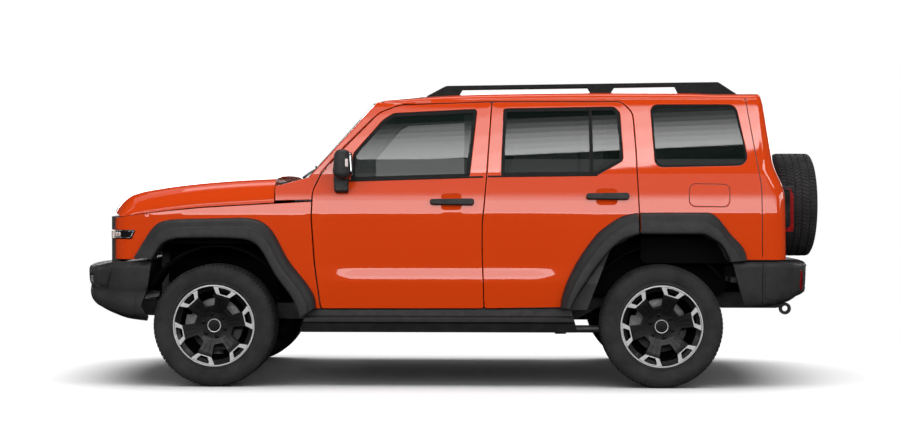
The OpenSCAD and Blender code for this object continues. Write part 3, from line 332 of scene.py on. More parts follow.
def inside(q, loops):
    """Which points are inside an odd number of the loops."""
    count = np.zeros(len(q), int)
    for p in loops:
        b = np.roll(p, -1, 0)
        up = (p[None, :, 1] > q[:, None, 1]) != (b[None, :, 1] > q[:, None, 1])
        rise = np.where(b[:, 1] == p[:, 1], 1e-9, b[:, 1] - p[:, 1])
        cross = (b[:, 0] - p[:, 0]) / rise * (q[:, None, 1] - p[None, :, 1]) + p[None, :, 0]
        count += np.sum(up & (q[:, None, 0] < cross), axis=1)
    return count % 2 == 1


# Meshes


def make(name, shape, mat, body, slot=None, replaces=()):
    """A piece in a finish, riding on a body. A shape is its vertices in millimetres, faces and normals or None."""
    verts, faces, normals = shape
    mesh = bpy.data.meshes.new(name)
    whole = [[int(i) for k, i in enumerate(f) if i != f[k - 1]] for f in faces]
    whole = [f for f in whole if len(f) > 2 and len(set(f)) == len(f)]
    mesh.from_pydata((np.asarray(verts, float) * MM).tolist(), [], whole)
    mesh.polygons.foreach_set("use_smooth", [True] * len(mesh.polygons))
    mesh.materials.append(MATS[mat])
    mesh.update()
    if normals is None:
        mesh.set_sharp_from_angle(angle=math.radians(38))
    else:
        mesh.normals_split_custom_set_from_vertices(np.asarray(normals, float).tolist())
    piece = bpy.data.objects.new(name, mesh)
    bpy.context.scene.collection.objects.link(piece)
    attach(piece, body)
    if replaces:
        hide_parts(*replaces)
    return piece


def mirrored(shape):
    """The same shape on the right side."""
    flip = np.array([1, -1, 1])
    verts, faces, normals = shape
    return verts * flip, [f[::-1] for f in faces], None if normals is None else normals * flip


def pair(name, shape, mat, bodies, slot=None, replaces=(None, None)):
    """A left piece and its mirror image; bodies and replaced nodes are given for left and right."""
    rows = zip(SIDES, (shape, mirrored(shape)), bodies, replaces)
    return [make(f"{name}_{side}", form, mat, body, slot, (node,) if node else ()) for side, form, body, node in rows]


def joined(shapes):
    """Several shapes as one."""
    verts, faces, normals, start = [], [], [], 0
    for v, f, n in shapes:
        verts.append(v)
        faces += [[i + start for i in face] for face in f]
        normals.append(n)
        start += len(v)
    whole = None if any(n is None for n in normals) else np.concatenate(normals)
    return np.concatenate(verts), faces, whole


def frame_at(surface, q, n2=None):
    """Points, outward normals and the directions along n2 on a surface given by its point function."""
    e = 0.4
    du = surface(q + [e, 0]) - surface(q - [e, 0])
    dv = surface(q + [0, e]) - surface(q - [0, e])
    n = np.cross(du, dv)
    n /= np.maximum(np.linalg.norm(n, axis=1), 1e-9)[:, None]
    if n2 is None:
        return surface(q), n
    t = surface(q + n2 * e) - surface(q - n2 * e)
    return surface(q), n, t / np.maximum(np.linalg.norm(t, axis=1), 1e-9)[:, None]


def sheet_panel(loops, surface, radius, depth, back=6.0, step=32.0, edge=14.0, bend=4):
    """Closed panel over an area of a surface. The first loop is its outside and the rest are holes.
    radius rounds the edges and depth is how far they turn in: a number, or a function of the loop's points.
    back is the thickness, step and edge are the spacing inside and along the loops, bend the steps of the rounding."""
    loops = [resampled(turned(points(p), i == 0), edge) for i, p in enumerate(loops)]
    value = lambda f, p: np.full(len(p), float(f)) if np.isscalar(f) else np.asarray(f(p), float)
    ns = [normals_of(p) for p in loops]
    rs = [value(radius, p) for p in loops]
    ds = [np.maximum(value(depth, p), r) for p, r in zip(loops, rs)]
    inner = [p - n * r[:, None] for p, n, r in zip(loops, ns, rs)]
    rim = np.concatenate(inner)
    lo, hi = rim.min(0), rim.max(0)
    gx, gy = np.meshgrid(np.arange(lo[0] + step / 2, hi[0], step), np.arange(lo[1] + step / 2, hi[1], step))
    grid = np.stack([gx.ravel(), gy.ravel()], 1)
    grid = grid[inside(grid, inner)]
    if len(grid):
        far = np.min(np.linalg.norm(grid[:, None] - rim[None], axis=2), axis=1)
        grid = grid[far > 0.55 * step]
    flat = np.concatenate([rim, grid])
    edges, start = [], 0
    for p in inner:
        n = len(p)
        edges += [(start + k, start + (k + 1) % n) for k in range(n)]
        start += n
    out, _, tris, origin, _, _ = delaunay_2d_cdt([Vector(p) for p in flat], edges, [], 0, 1e-5)
    flat2 = np.array([[p.x, p.y] for p in out])
    index = {}
    for i, source in enumerate(origin):
        for j in source:
            index[j] = i
    tris = np.array([t for t in tris if len(t) == 3])
    tris = tris[inside(flat2[tris].mean(1), inner)]
    v1, v2, v3 = (flat2[tris[:, k]] for k in range(3))
    wrong = (v2[:, 0] - v1[:, 0]) * (v3[:, 1] - v1[:, 1]) - (v2[:, 1] - v1[:, 1]) * (v3[:, 0] - v1[:, 0]) < 0
    tris[wrong] = tris[wrong][:, ::-1]
    front, normal = frame_at(surface, flat2)
    count = len(flat2)
    verts, normals = [front, front - normal * back], [normal, -normal]
    faces = [list(t) for t in tris] + [[count + i for i in t[::-1]] for t in tris]
    total, start = 2 * count, 0
    for p, n, r, d, base in zip(loops, ns, rs, ds, inner):
        m = len(p)
        ring = [index[start + k] for k in range(m)]
        rear = [count + i for i in ring]
        start += m
        for k in range(1, bend + 2):
            turn = math.pi / 2 * min(k, bend) / bend
            place = base + n * (r * math.sin(turn))[:, None]
            depth_here = r * (1 - math.cos(turn)) if k <= bend else d
            point, up, out_way = frame_at(surface, place, n)
            verts.append(point - up * np.reshape(depth_here, (-1, 1)))
            normals.append(up * math.cos(turn) + out_way * math.sin(turn))
            new = list(range(total, total + m))
            faces += [[ring[j], new[j], new[(j + 1) % m], ring[(j + 1) % m]] for j in range(m)]
            ring = new
            total += m
        faces += [[ring[j], rear[j], rear[(j + 1) % m], ring[(j + 1) % m]] for j in range(m)]
    return np.concatenate(verts), faces, np.concatenate(normals)


def panels(areas, surface, *sizes):
    """Panels on one surface as one shape; each area lists its outside and its holes."""
    return joined([sheet_panel(area, surface, *sizes) for area in areas])


def plane(axis, at):
    """Flat surface across an axis, by the other two coordinates in their order."""
    return lambda q: np.insert(q, axis, at, axis=1)


def set_in(surface, depth):
    """A surface moved in by a depth, against its normals."""
    def moved(q):
        point, normal = frame_at(surface, q)
        return point - normal * depth
    return moved


def grid_panel(rows, thick):
    """Closed panel from a grid of points, thickened against its normals (which follow rows, then columns)."""
    g = np.asarray(rows, float)
    r, c = g.shape[:2]
    n = np.cross(np.gradient(g, axis=0), np.gradient(g, axis=1))
    n /= np.maximum(np.linalg.norm(n, axis=2), 1e-9)[..., None]
    verts = np.concatenate([g.reshape(-1, 3), (g - n * thick).reshape(-1, 3)])
    q = r * c
    faces = []
    for i in range(r - 1):
        for j in range(c - 1):
            a = i * c + j
            faces += [[a, a + c, a + c + 1, a + 1], [q + a, q + a + 1, q + a + c + 1, q + a + c]]
    border = ([i * c for i in range(r)] + [(r - 1) * c + j for j in range(1, c)]
              + [i * c + c - 1 for i in range(r - 2, -1, -1)] + [j for j in range(c - 2, 0, -1)])
    for a, b in zip(border, border[1:] + border[:1]):
        faces.append([b, a, q + a, q + b])
    return verts, faces, None


def softened(piece, width=3.0, segments=2, angle=35):
    """Rounded edges and smooth shading where faces meet gently."""
    bevel = piece.modifiers.new("soft_edges", "BEVEL")
    bevel.width, bevel.segments, bevel.limit_method = width * MM, segments, "ANGLE"
    bevel.angle_limit = math.radians(angle)
    bevel.harden_normals = True
    bevel.use_clamp_overlap = True
    return piece


def lathe(profile, segments=96, start=0.0):
    """Closed ring from an anticlockwise outline of (radius, height), about +Z."""
    p = np.asarray(profile, float)
    m = len(p)
    angles = start + np.arange(segments) * 2 * math.pi / segments
    verts = np.concatenate([np.stack([p[:, 0] * math.cos(a), p[:, 0] * math.sin(a), p[:, 1]], 1) for a in angles])
    at = lambda k, j: j if p[j, 0] == 0 else k % segments * m + j
    faces = []
    for k in range(segments):
        for j in range(m):
            i = (j + 1) % m
            if p[j, 0] or p[i, 0]:
                faces.append([at(k, j), at(k + 1, j), at(k + 1, i), at(k, i)])
    used = sorted({i for f in faces for i in f})
    order = {i: n for n, i in enumerate(used)}
    return verts[used], [[order[i] for i in f] for f in faces], None


def prism(outline, z0, z1):
    """Straight block over an outline, along +Z."""
    p = turned(np.asarray(outline, float))
    m = len(p)
    verts = np.concatenate([np.column_stack([p, np.full(m, z)]) for z in (z0, z1)])
    faces = [list(range(m))[::-1], list(range(m, 2 * m))]
    faces += [[j, (j + 1) % m, m + (j + 1) % m, m + j] for j in range(m)]
    return verts, faces, None


def placed(shape, matrix):
    """A shape moved by a matrix."""
    v, f, n = shape
    m = np.array(matrix)
    if np.linalg.det(m[:3, :3]) < 0:
        f = [face[::-1] for face in f]
    return v @ m[:3, :3].T + m[:3, 3], f, None if n is None else n @ m[:3, :3].T


def tube(path, radius, sides=12):
    """Round bar along a path of points."""
    p = np.asarray(path, float)
    t = np.gradient(p, axis=0)
    t /= np.linalg.norm(t, axis=1)[:, None]
    verts, faces = [], []
    u = np.cross(t[0], [0.3, 0.2, 0.9])
    for i, (a, d) in enumerate(zip(p, t)):
        u = u - d * (u @ d)
        u /= np.linalg.norm(u)
        w = np.cross(d, u)
        r = radius[i] if hasattr(radius, "__len__") else radius
        turn = np.arange(sides) * 2 * math.pi / sides
        verts.append(a + r * (np.outer(np.cos(turn), u) + np.outer(np.sin(turn), w)))
        if i:
            s = (i - 1) * sides
            faces += [[s + k, s + (k + 1) % sides, s + sides + (k + 1) % sides, s + sides + k] for k in range(sides)]
    faces += [list(range(sides))[::-1], list(range((len(p) - 1) * sides, len(p) * sides))]
    return np.concatenate(verts), faces, None


# Body surfaces

# Height and half width of the side
SKIN = [
    [474, 861], [560, 870], [640, 878], [672, 875], [740, 865], [900, 872], [1065, 878], [1180, 868], [1290, 846],
    [1312, 842], [1752, 743], [1763, 740], [1790, 722], [1808, 702], [1822, 672]]
# The same below the shoulder, where the side has no hollow
PLAIN = [[474, 864], [560, 873], [700, 879.5], [900, 880], [1065, 878]]
ROOF = [[-440, 1747], [-362, 1768], [-159, 1790], [274, 1808], [900, 1815], [1500, 1812], [1700, 1806], [1960, 1806]]
REAR = [[474, 2080], [798, 2088], [1182, 2084], [1234, 2074], [1356, 2017], [1766, 1956], [1806, 1938], [1830, 1930]]
HOLLOW = [-920, -560, 530, 960]  # along X: the hollow in the doors begins, is full, begins to end, ends
ROLL, ROLL_BULGE = 42, 31  # height of the rounding into the roof, and how much fuller than plain it is
ROOF_LIFT = 5
ROLL_FROM, ROLL_TO = -440, -250  # along X: the rounding begins behind the windscreen and is full
REAR_R = 95  # of the rear corner
SKIN_FOOT = 783  # height at which the side's skin begins over the bumpers
CORNER_R, CORNER_X, CORNER_TURN = 135, -1938, math.radians(76)
NOSE_END = CORNER_X - CORNER_R * CORNER_TURN  # distance along the side at which the lamp corner ends


def ramp(x, a, b):
    t = np.clip((np.asarray(x, float) - a) / (b - a), 0, 1)
    return t * t * (3 - 2 * t)


def blurred(values, width):
    k = np.arange(-4 * width, 4 * width + 1)
    kernel = np.exp(-0.5 * (k / width) ** 2)
    padded = np.pad(values, 4 * width, mode="reflect", reflect_type="odd")
    return np.convolve(padded, kernel / kernel.sum(), mode="valid")


def softened_table(table, heights, width, creases=()):
    """Table of values over heights with its corners rounded, less so near the creases."""
    raw = np.interp(heights, *zip(*table))
    near = np.zeros(len(heights))
    for c in creases:
        near = np.maximum(near, np.exp(-((heights - c) / 22.0) ** 2))
    return blurred(raw, width) * (1 - near) + blurred(raw, 4) * near


HEIGHTS = np.arange(440, 1861.0)
FULL_WIDTH = softened_table(SKIN, HEIGHTS, 15, (640, 1065)) + PROUD
PLAIN_WIDTH = np.where(HEIGHTS < 1065, blurred(np.interp(HEIGHTS, *zip(*PLAIN)), 12) + PROUD, FULL_WIDTH)
REAR_FACE = softened_table(REAR, HEIGHTS, 30) + PROUD + 2


def half_width(x, z):
    share = ramp(x, *HOLLOW[:2]) * (1 - ramp(x, *HOLLOW[2:]))
    return np.interp(z, HEIGHTS, FULL_WIDTH) * share + np.interp(z, HEIGHTS, PLAIN_WIDTH) * (1 - share)


def rear_x(z):
    return np.interp(z, HEIGHTS, REAR_FACE)


def roof_z(x):
    return spline(ROOF, x)[..., 0]


def roll_share(s):
    return ramp(s, ROLL_FROM, ROLL_TO)


def wall_profile(s, v):
    """Half width and height of the side at the distance v up it, which rolls over into the roof."""
    top = roof_z(s) + ROOF_LIFT
    share = roll_share(s)
    start = top - ROLL * share
    w0 = half_width(s, start)
    slope = w0 - half_width(s, start - 1)
    u = np.clip((v - start) / np.maximum(roll_length(s), 1e-6), 0, 1)
    corner = w0 + (slope * ROLL + ROLL_BULGE) * share
    end = w0 + (DITCH_Y + 2 - w0) * share
    rolled = (1 - u) ** 2 * w0 + 2 * u * (1 - u) * corner + u * u * end
    width = np.where(v <= start, half_width(s, np.minimum(v, start)), rolled)
    return width, np.where(v <= start, v, start + (top - start) * (1 - (1 - u) ** 2))


def roll_length(s):
    share = roll_share(s)
    return (ROLL + half_width(s, roof_z(s) + ROOF_LIFT - ROLL * share) - DITCH_Y) * 0.85 * share


def rear_radius(w):
    return np.minimum(REAR_R, 0.48 * np.maximum(w - DITCH_Y, 1))


def left_side(q):
    """The left side by the distance along it and up it. It turns round the lamp corner and the rear corner."""
    s, v = q[:, 0], q[:, 1]
    w, z = wall_profile(s, v)
    r = rear_radius(w)
    end = rear_x(z) - r
    a = np.clip((s - end) / r, 0, math.pi / 2)
    past = np.maximum(s - end - r * math.pi / 2, 0)
    x = np.where(s > end, end + r * np.sin(a), s)
    y = np.where(s > end, w - r + r * np.cos(a) - past, w)
    b = np.clip((CORNER_X - s) / CORNER_R, 0, CORNER_TURN)
    past = np.maximum(CORNER_X - s - CORNER_R * CORNER_TURN, 0)
    nose = s < CORNER_X
    x = np.where(nose, CORNER_X - CORNER_R * np.sin(b) - past * math.cos(CORNER_TURN), x)
    y = np.where(nose, w - CORNER_R + CORNER_R * np.cos(b) - past * math.sin(CORNER_TURN), y)
    return np.stack([x, -y, z], 1)


def rear_end(v):
    """Distance along the side at which it meets the tailgate."""
    w, z = wall_profile(np.full_like(v, 1950.0), v)
    r = rear_radius(w)
    return rear_x(z) - r + r * math.pi / 2 + np.maximum(w - r - DITCH_Y, 0)


# Painted panels

FRONT_DOOR = [
    [-771, 481, 14], [-808, 757, 300], [-828, 1041, 300], [-822, 1205, 120], [-765, 1318, 120], [-627, 1477, 0],
    [-417, 1690, 140], [-290, 1738, 200], [277, 1757, 10], [245, 1285, 0], [219, 1000, 300], [218, 853, 0],
    [230, 483, 14]]
REAR_DOOR = [
    [237, 483, 14], [225, 853, 0], [226, 1000, 300], [252, 1285, 0], [284, 1757, 10], [1080, 1757, 60],
    [1150, 1690, 90], [1166, 1459, 0], [1182, 1073, 0], [1184, 938, 0], [1090, 905, 90], [990, 835, 90],
    [752, 488, 20]]
FRONT_WINDOW = [
    [-592, 1268, 12], [-578, 1438, 60], [-397, 1647, 60], [-330, 1690, 60], [191, 1716, 20], [144, 1290, 14]]
REAR_WINDOW = [
    [337, 1298, 14], [353, 1718, 20], [1040, 1728, 40], [1075, 1690, 40], [1092, 1392, 40], [935, 1304, 30]]
QUARTER_WINDOW = [[1286, 1350, 50], [1260, 1742, 45], [1790, 1742, 60], [1864, 1362, 60]]
FRONT_ARCH = [
    [-1798, 782, 0], [-1734, 882, 60], [-1631, 912, 40], [-1261, 908, 60], [-1172, 882, 60], [-918, 492, 60],
    [-900, 478, 0]]
REAR_ARCH = [[1186, 939, 0], [1564, 939, 60], [1668, 885, 60], [1722, 784, 0]]
# Windows: name, outline, bodies, width of the black band, inset and finish of the pane, replaced nodes
WINDOWS = [
    ("front", FRONT_WINDOW, FRONT_DOORS, 24, 20, "glass", both_sides("front_glass")),
    ("rear", REAR_WINDOW, REAR_DOORS, 22, 18, "dark_glass", both_sides("rear_glass")),
    ("quarter", QUARTER_WINDOW, BODY, 14, 10, "dark_glass", (None, None))]
# Finger cups behind the door handles: X from and to, height
CUP = {"front": (-30, 94, 1139), "rear": (924, 1050, 1170)}
FUEL_FLAP = [[1488, 1110, 40], [1738, 1106, 40], [1742, 1248, 40], [1492, 1252, 40]]
REAR_SEAM = [[1937, 800], [1933, 1234], [1848, 1786]]


def cup_outline(name):
    x0, x1, z = CUP[name]
    return rounded(block(x0, x1, z - 49, z + 49, 18))


def open_run(table):
    """Rounded line that isn't closed."""
    first, last = np.array(table[0][:2], float), np.array(table[-1][:2], float)
    p = rounded([[*(first + [0, -400]), 0], *table, [*(last + [0, -400]), 0]])
    return p[1:-1]


def stretch_of(loop, first, last):
    """The part of an outline from the point nearest to first, on in its order, to the one nearest to last."""
    a = int(np.argmin(np.linalg.norm(loop - first, axis=1)))
    b = int(np.argmin(np.linalg.norm(loop - last, axis=1)))
    n = len(loop)
    return np.array([loop[(a + k) % n] for k in range((b - a) % n + 1)])


def body_side_outline():
    front, rear = (grown(resampled(rounded(door), 15), GAP - 0.6)[::-1] for door in (FRONT_DOOR, REAR_DOOR))
    over_front = stretch_of(front, (-829, 1146), (270, 1764))
    over_rear = stretch_of(rear, (292, 1764), (1190, 950))
    end = np.array([1930.0])
    vs = np.linspace(SKIN_FOOT, float((roof_z(end) + ROOF_LIFT - ROLL + roll_length(end))[0]), 50)
    ss = np.linspace(1915, ROLL_FROM, 90)
    tops = roof_z(ss) + ROOF_LIFT - ROLL * roll_share(ss) + roll_length(ss)
    parts = [
        [[-1055, 1147]], over_front, over_rear, open_run(clear_of_wheel(REAR_ARCH, REAR_AXLE)), [[1740, SKIN_FOOT]],
        np.stack([rear_end(vs), vs], 1), np.stack([ss, tops], 1), [[-852, 1292], [-880, 1284], [-1055, 1238]]]
    return np.concatenate([np.asarray(p, float) for p in parts])


def clear_of_wheel(table, axle, gap=15):
    """Outline rows moved away from a wheel, so that the flare hides them."""
    p = np.array([row[:2] for row in table], float)
    way = p - [axle, TYRE_R]
    p += gap * way / np.linalg.norm(way, axis=1)[:, None]
    return [[*q, row[2]] for q, row in zip(p, table)]


def make_side_panels():
    """Doors, wings and fixed sides as smooth skins over their solids."""
    rear_edge = REAR_DOOR[:-4] + clear_of_wheel(REAR_DOOR[-4:], REAR_AXLE)
    doors = (("front", FRONT_DOOR, FRONT_WINDOW, FRONT_DOORS), ("rear", rear_edge, REAR_WINDOW, REAR_DOORS))
    for name, outline, window, bodies in doors:
        cup = grown(cup_outline(name), 0.2)
        lip = lambda p: np.where(np.min(np.linalg.norm(p[:, None] - cup, axis=2), axis=1) < 12, 1.0, 3.0)
        shape = sheet_panel([grown(outline, 0.6), window, cup], left_side, lip, 9.0)
        pair(f"{name}_door_skin", shape, "paint", bodies, "paint")

    def lip(p):
        """Rounding of the fixed side: large at the windscreen pillar, small at the seam of the rear corner."""
        s, v = p.T
        seam = (s > 1843) & (s < 1941) & (v > 790) & (v < 1800)
        return np.where((s < -445) & (v > 1240), 9.0, np.where(seam, 1.2, 3.0))
    seam = np.array(REAR_SEAM, float)
    slot = np.concatenate([seam - [2.4, 0], (seam + [2.4, 0])[::-1]])
    plain = [body_side_outline(), QUARTER_WINDOW, slot]
    left, right = (sheet_panel(loops, left_side, lip, 10.0, step=19) for loops in (plain + [FUEL_FLAP], plain))
    for side, shape in zip(SIDES, (left, mirrored(right))):
        make(f"body_side_skin_{side}", shape, "paint", "body", "paint")
    cover = sheet_panel([grown(FUEL_FLAP, -3.6)], set_in(left_side, 0.2), 2.0, 6.0, 5.0)
    make("fuel_flap", cover, "paint", "body", "paint")
    door_edge = grown(resampled(rounded(FRONT_DOOR), 15), GAP + 1)
    edge = stretch_of(door_edge[::-1], (-780, 478), (-830, 1138))
    nose = NOSE_END - 22
    wing = np.concatenate([
        [[nose, SKIN_FOOT], [-1930, SKIN_FOOT]], open_run(clear_of_wheel(FRONT_ARCH, FRONT_AXLE)), edge,
        [[-1062, 1127], [-1508, 1101], [-1756, 1078], [-2053, 1041], [nose, 1035]]])
    soft = lambda p: np.where(p[:, 1] > 1030, 1.4, 3.0)
    shape = sheet_panel([wing], left_side, soft, lambda p: np.where(p[:, 0] > -890, 3.4, 9.0), 3.2)
    pair("wing_skin", shape, "paint", BODY, "paint", ("front_wings", None))
    # Near-black flange under the bonnet's shut line: painted shade, so that the gap reads dark.
    line = np.array([[-1062, 1127], [-1280, 1115], [-1508, 1101], [-1756, 1078], [-2053, 1041]], float)
    flange = np.concatenate([line - [0, 32], (line + [0, 13])[::-1]])
    shape = sheet_panel([flange], set_in(left_side, 14), 0.8, 3.0, 2.0)
    pair("wing_flange", shape, "arch", BODY, "steel")


# Bonnet rows: share of the length from the front, height in the middle, height of the side shut line
BONNET = [
    [0, 1092, 1048], [0.02, 1126, 1050], [0.06, 1170, 1055], [0.11, 1202, 1062], [0.3, 1243, 1085],
    [0.55, 1274, 1108], [0.8, 1293, 1122], [1, 1303, 1134]]
# Bonnet columns on one side: distance from the middle, drop on top, share of the way down the side
ACROSS = [
    [0, 0, 0], [250, 2, 0], [500, 8, 0], [690, 18, 0], [760, 24, 0], [800, 30, 0.12], [846, 30, 0.55],
    [868, 30, 0.85], [872, 30, 1]]
BONNET_END = -1062
NOSE_HALF, NOSE_POWER = 760, 2.4  # half width and bend of the nose, seen from above
BONNET_LIFT = 1.8  # how far the bonnet's skin stands out from its rows


def nose_x(y):
    return -2158 + 62 * np.power(np.abs(y) / NOSE_HALF, NOSE_POWER)


def make_bonnet():
    """Bonnet with soft shoulders that reach down to the wings."""
    steps = np.cumsum([0, 250, 250, 190, 70, 45, 70, 45, 30])
    across = np.concatenate([np.linspace(0, 690, 16), np.linspace(700, steps[-1], 26)])
    columns = spline(np.column_stack([steps, ACROSS]), across)
    columns = np.concatenate([columns[:0:-1] * [-1, 1, 1], columns])
    us = np.concatenate([np.linspace(0, 0.12, 16), np.linspace(0.14, 1, 40)])
    rows = spline(BONNET, us)
    grid = []
    for u, (middle, side) in zip(us, rows):
        y, drop, down = columns.T
        top = middle - drop
        bend = np.power(np.minimum(NOSE_HALF, np.abs(y)) / NOSE_HALF, NOSE_POWER)
        x0 = -2150 + 84 * bend + np.maximum(np.abs(y) - NOSE_HALF, 0) * 0.42
        grid.append(np.stack([x0 + (BONNET_END - x0) * u, y, top + (side - top) * down], 1))
    grid = np.array(grid)
    n = np.cross(np.gradient(grid, axis=0), np.gradient(grid, axis=1))
    n /= np.linalg.norm(n, axis=2)[..., None]
    shape = grid_panel(grid + n * BONNET_LIFT, 5)
    softened(make("bonnet_skin", shape, "paint", "bonnet", "paint", ("bonnet",)), 1.5)
    lip = np.array([grid[-1, 12:-12] + n[-1, 12:-12] * BONNET_LIFT - [0, 0, d] for d in (0, 14, 28, 42)])
    softened(make("bonnet_rear_lip", grid_panel(lip, 3), "paint", "bonnet", "paint"), 1.0)
    # The frame and edges under the bonnet are in the darker copy of the paint: painted shade.
    stiff = np.sin(np.linspace(0, 5 * math.pi, len(us) - 6))[:, None, None] ** 2 * 9
    shape = grid_panel(grid[3:-3, 8:-8] - n[3:-3, 8:-8] * (24 + stiff), 6)
    softened(make("bonnet_frame", shape, "inner_paint", "bonnet", "paint"), 1.5)
    edges = joined([grid_panel(rows[2:-2] - [0, 0, 10], 12) for rows in (grid[:, 4:10], grid[:, -10:-4])])
    softened(make("bonnet_edges", edges, "inner_paint", "bonnet", "paint"), 1.5)


ROOF_FRONT = -428


def make_roof():
    """Roof with its crown, and the rubber strips in the ditches beside it."""
    xs = np.concatenate([np.linspace(ROOF_FRONT, -150, 18), np.linspace(-120, 1934, 48)])
    ys = np.linspace(-1, 1, 33) * (DITCH_Y - 4)
    grid = []
    for x in xs:
        share = 1 - (ys / DITCH_Y) ** 2
        rise = 18 * share * min(1, (x + 460) / 400, (2050 - x) / 300)
        front = x - 22 * share * max(0, 1 - (x - ROOF_FRONT) / 140)
        grid.append(np.stack([front, ys, roof_z(np.full_like(ys, x)) + ROOF_LIFT + rise], 1))
    shape = grid_panel(np.array(grid), 6)
    softened(make("roof_skin", shape, "paint", "body", "paint"), 2.0)
    line = [[x, -DITCH_Y, float(roof_z(np.array(x))) + ROOF_LIFT - 5] for x in np.linspace(-400, 1930, 60)]
    pair("roof_ditch_strip", tube(line, 4.0, 8), "seal", BODY)


GATE_WINDOW = [[-545, 1370, 40], [545, 1370, 40], [520, 1715, 40], [-520, 1715, 40]]


def tailgate_face(q):
    y, z = q[:, 0], q[:, 1]
    return np.stack([rear_x(z) + 7 * (1 - (y / DITCH_Y) ** 2), y, z], 1)


def make_tailgate():
    half = DITCH_Y - GAP + 0.6
    outline = [[-half, 793, 14], [half, 793, 14], [half, 1757, 30], [-half, 1757, 30]]
    shape = sheet_panel([outline, GATE_WINDOW], tailgate_face, 3.0, 9.0)
    make("tailgate_skin", shape, "paint", "tailgate", "paint")
    bands = [grown(GATE_WINDOW, -0.8), inset(GATE_WINDOW, 26)]
    v, f, n = sheet_panel(bands, tailgate_face, 1.5, 5.0, 4.0)
    make("tailgate_window_band", (v - [6, 0, 0], f, n), "gloss", "tailgate", "plastic")


# Wheel arch flares: outer edge X and height, inner edge X and height
FRONT_FLARE = [
    [-1932, 796, -1800, 788], [-1776, 1009, -1734, 880], [-1740, 1022, -1700, 898], [-1680, 1031, -1631, 912],
    [-1437, 1037, -1437, 914], [-1246, 1041, -1261, 908], [-1180, 1032, -1215, 900], [-1119, 1006, -1172, 880],
    [-970, 778, -1044, 684], [-807, 535, -918, 492], [-801, 489, -900, 430]]
REAR_FLARE_DOOR = [
    [700, 489, 764, 489], [713, 559, 800, 560], [921, 937, 1005, 842], [985, 992, 1040, 876],
    [1094, 1056, 1100, 914], [1176, 1072, 1176, 938]]
REAR_FLARE_BODY = [
    [1190, 1073, 1190, 940], [1400, 1074, 1400, 939], [1605, 1074, 1564, 939], [1640, 1060, 1620, 912],
    [1668, 1036, 1668, 882], [1735, 950, 1710, 820], [1835, 823, 1728, 776], [1842, 782, 1728, 774]]
# Flare profile: share of the width from the outer edge, distance from the middle of the car
LIP = [
    [0, 882], [0.03, 905], [0.09, 921], [0.36, 945], [0.42, 950], [0.46, 956], [0.86, 964], [0.94, 962],
    [0.985, 950], [1, 915], [1.01, 868]]


def flare_shape(table):
    t = np.asarray(table, float)
    middle = (t[:, :2] + t[:, 2:]) / 2
    length = np.concatenate([[0], np.cumsum(np.linalg.norm(np.diff(middle, axis=0), axis=1))])
    at = np.linspace(0, length[-1], max(24, int(length[-1] / 14)))
    rows = spline(np.column_stack([length, t]), at)
    shares = np.concatenate([np.linspace(0, 0.12, 7), np.linspace(0.16, 0.35, 5), np.linspace(0.36, 0.47, 7),
                             np.linspace(0.52, 0.85, 6), np.linspace(0.87, 1.01, 12)])
    widths = spline(LIP, shares)[:, 0]
    grid = [[[r[0] + (r[2] - r[0]) * s, -w, r[1] + (r[3] - r[1]) * s] for s, w in zip(shares, widths)] for r in rows]
    return grid_panel(np.array(grid)[:, ::-1] if t[0, 0] < t[-1, 0] else np.array(grid), 4)


def make_flares():
    fixed = joined([flare_shape(FRONT_FLARE), flare_shape(REAR_FLARE_BODY)])
    both = joined([fixed, mirrored(fixed)])
    softened(make("wheel_flare_mouldings", both, "plastic", "body", "plastic", ("wheel_flares",)), 1.5)
    shape = flare_shape(REAR_FLARE_DOOR)
    for piece in pair("rear_door_flare", shape, "plastic", REAR_DOORS, "plastic", both_sides("rear_trim")):
        softened(piece, 1.5)


# Glass


def make_window_bands():
    """Black bands round the side windows, the bar in the rear door window and the belt strips."""
    face = set_in(left_side, 3.0)
    for name, outline, bodies, width, *_ in WINDOWS:
        shape = sheet_panel([grown(outline, -0.5), inset(outline, width)], face, 1.5, 4.0, 4.0, 16, 12, 2)
        pair(f"{name}_window_band", shape, "band", bodies, "plastic")
    bar = [[884, 1300, 5], [908, 1300, 5], [900, 1722, 5], [880, 1722, 5]]
    shape = sheet_panel([bar], set_in(left_side, -0.4), 2.0, 5.0, 5.0, 16, 12, 2)
    pair("rear_window_bar", shape, "band", REAR_DOORS, "plastic")
    belts = (
        ("front", [[-604, 1262, 4], [228, 1287, 4], [229, 1298, 4], [-604, 1274, 4]], FRONT_DOORS),
        ("rear", [[257, 1289, 4], [930, 1297, 4], [936, 1307, 4], [256, 1300, 4]], REAR_DOORS))
    for name, outline, bodies in belts:
        strip = sheet_panel([outline], set_in(left_side, -4), 3.0, 6.0, 6.0, 16, 14, 3)
        pair(f"{name}_belt_strip", strip, "band", bodies, "plastic")


def make_panes():
    """Side window glass, bowed a little over its height."""
    def bowed(q):
        point, normal = frame_at(left_side, q)
        return point - normal * (10 - 7.5 * (1 - ((q[:, 1] - 1510) / 225) ** 2))[:, None]
    for name, outline, bodies, _, width, mat, nodes in WINDOWS:
        shape = sheet_panel([inset(outline, width)], bowed, 0.8, 4.0, 4.0, 24, 14, 2)
        pair(f"{name}_pane", shape, mat, bodies, "glass", nodes)


SCREEN_FOOT, SCREEN_TOP = np.array([-852.0, 1290.0]), np.array([-440.0, 1747.0])


def screen_point(q):
    """Windscreen by the distance across and the share of the way up, a little in front of its solid."""
    y, u = q[:, 0], q[:, 1] / 1000
    foot = SCREEN_FOOT + [-10, -6]
    run = SCREEN_TOP - SCREEN_FOOT + [6, 10]
    out = np.array([-run[1], run[0]]) / np.linalg.norm(run)
    bulge = 26 * (1 - (y / 800) ** 2) + 3
    xz = foot + u[:, None] * run + bulge[:, None] * out
    return np.stack([xz[:, 0], -y, xz[:, 1]], 1)


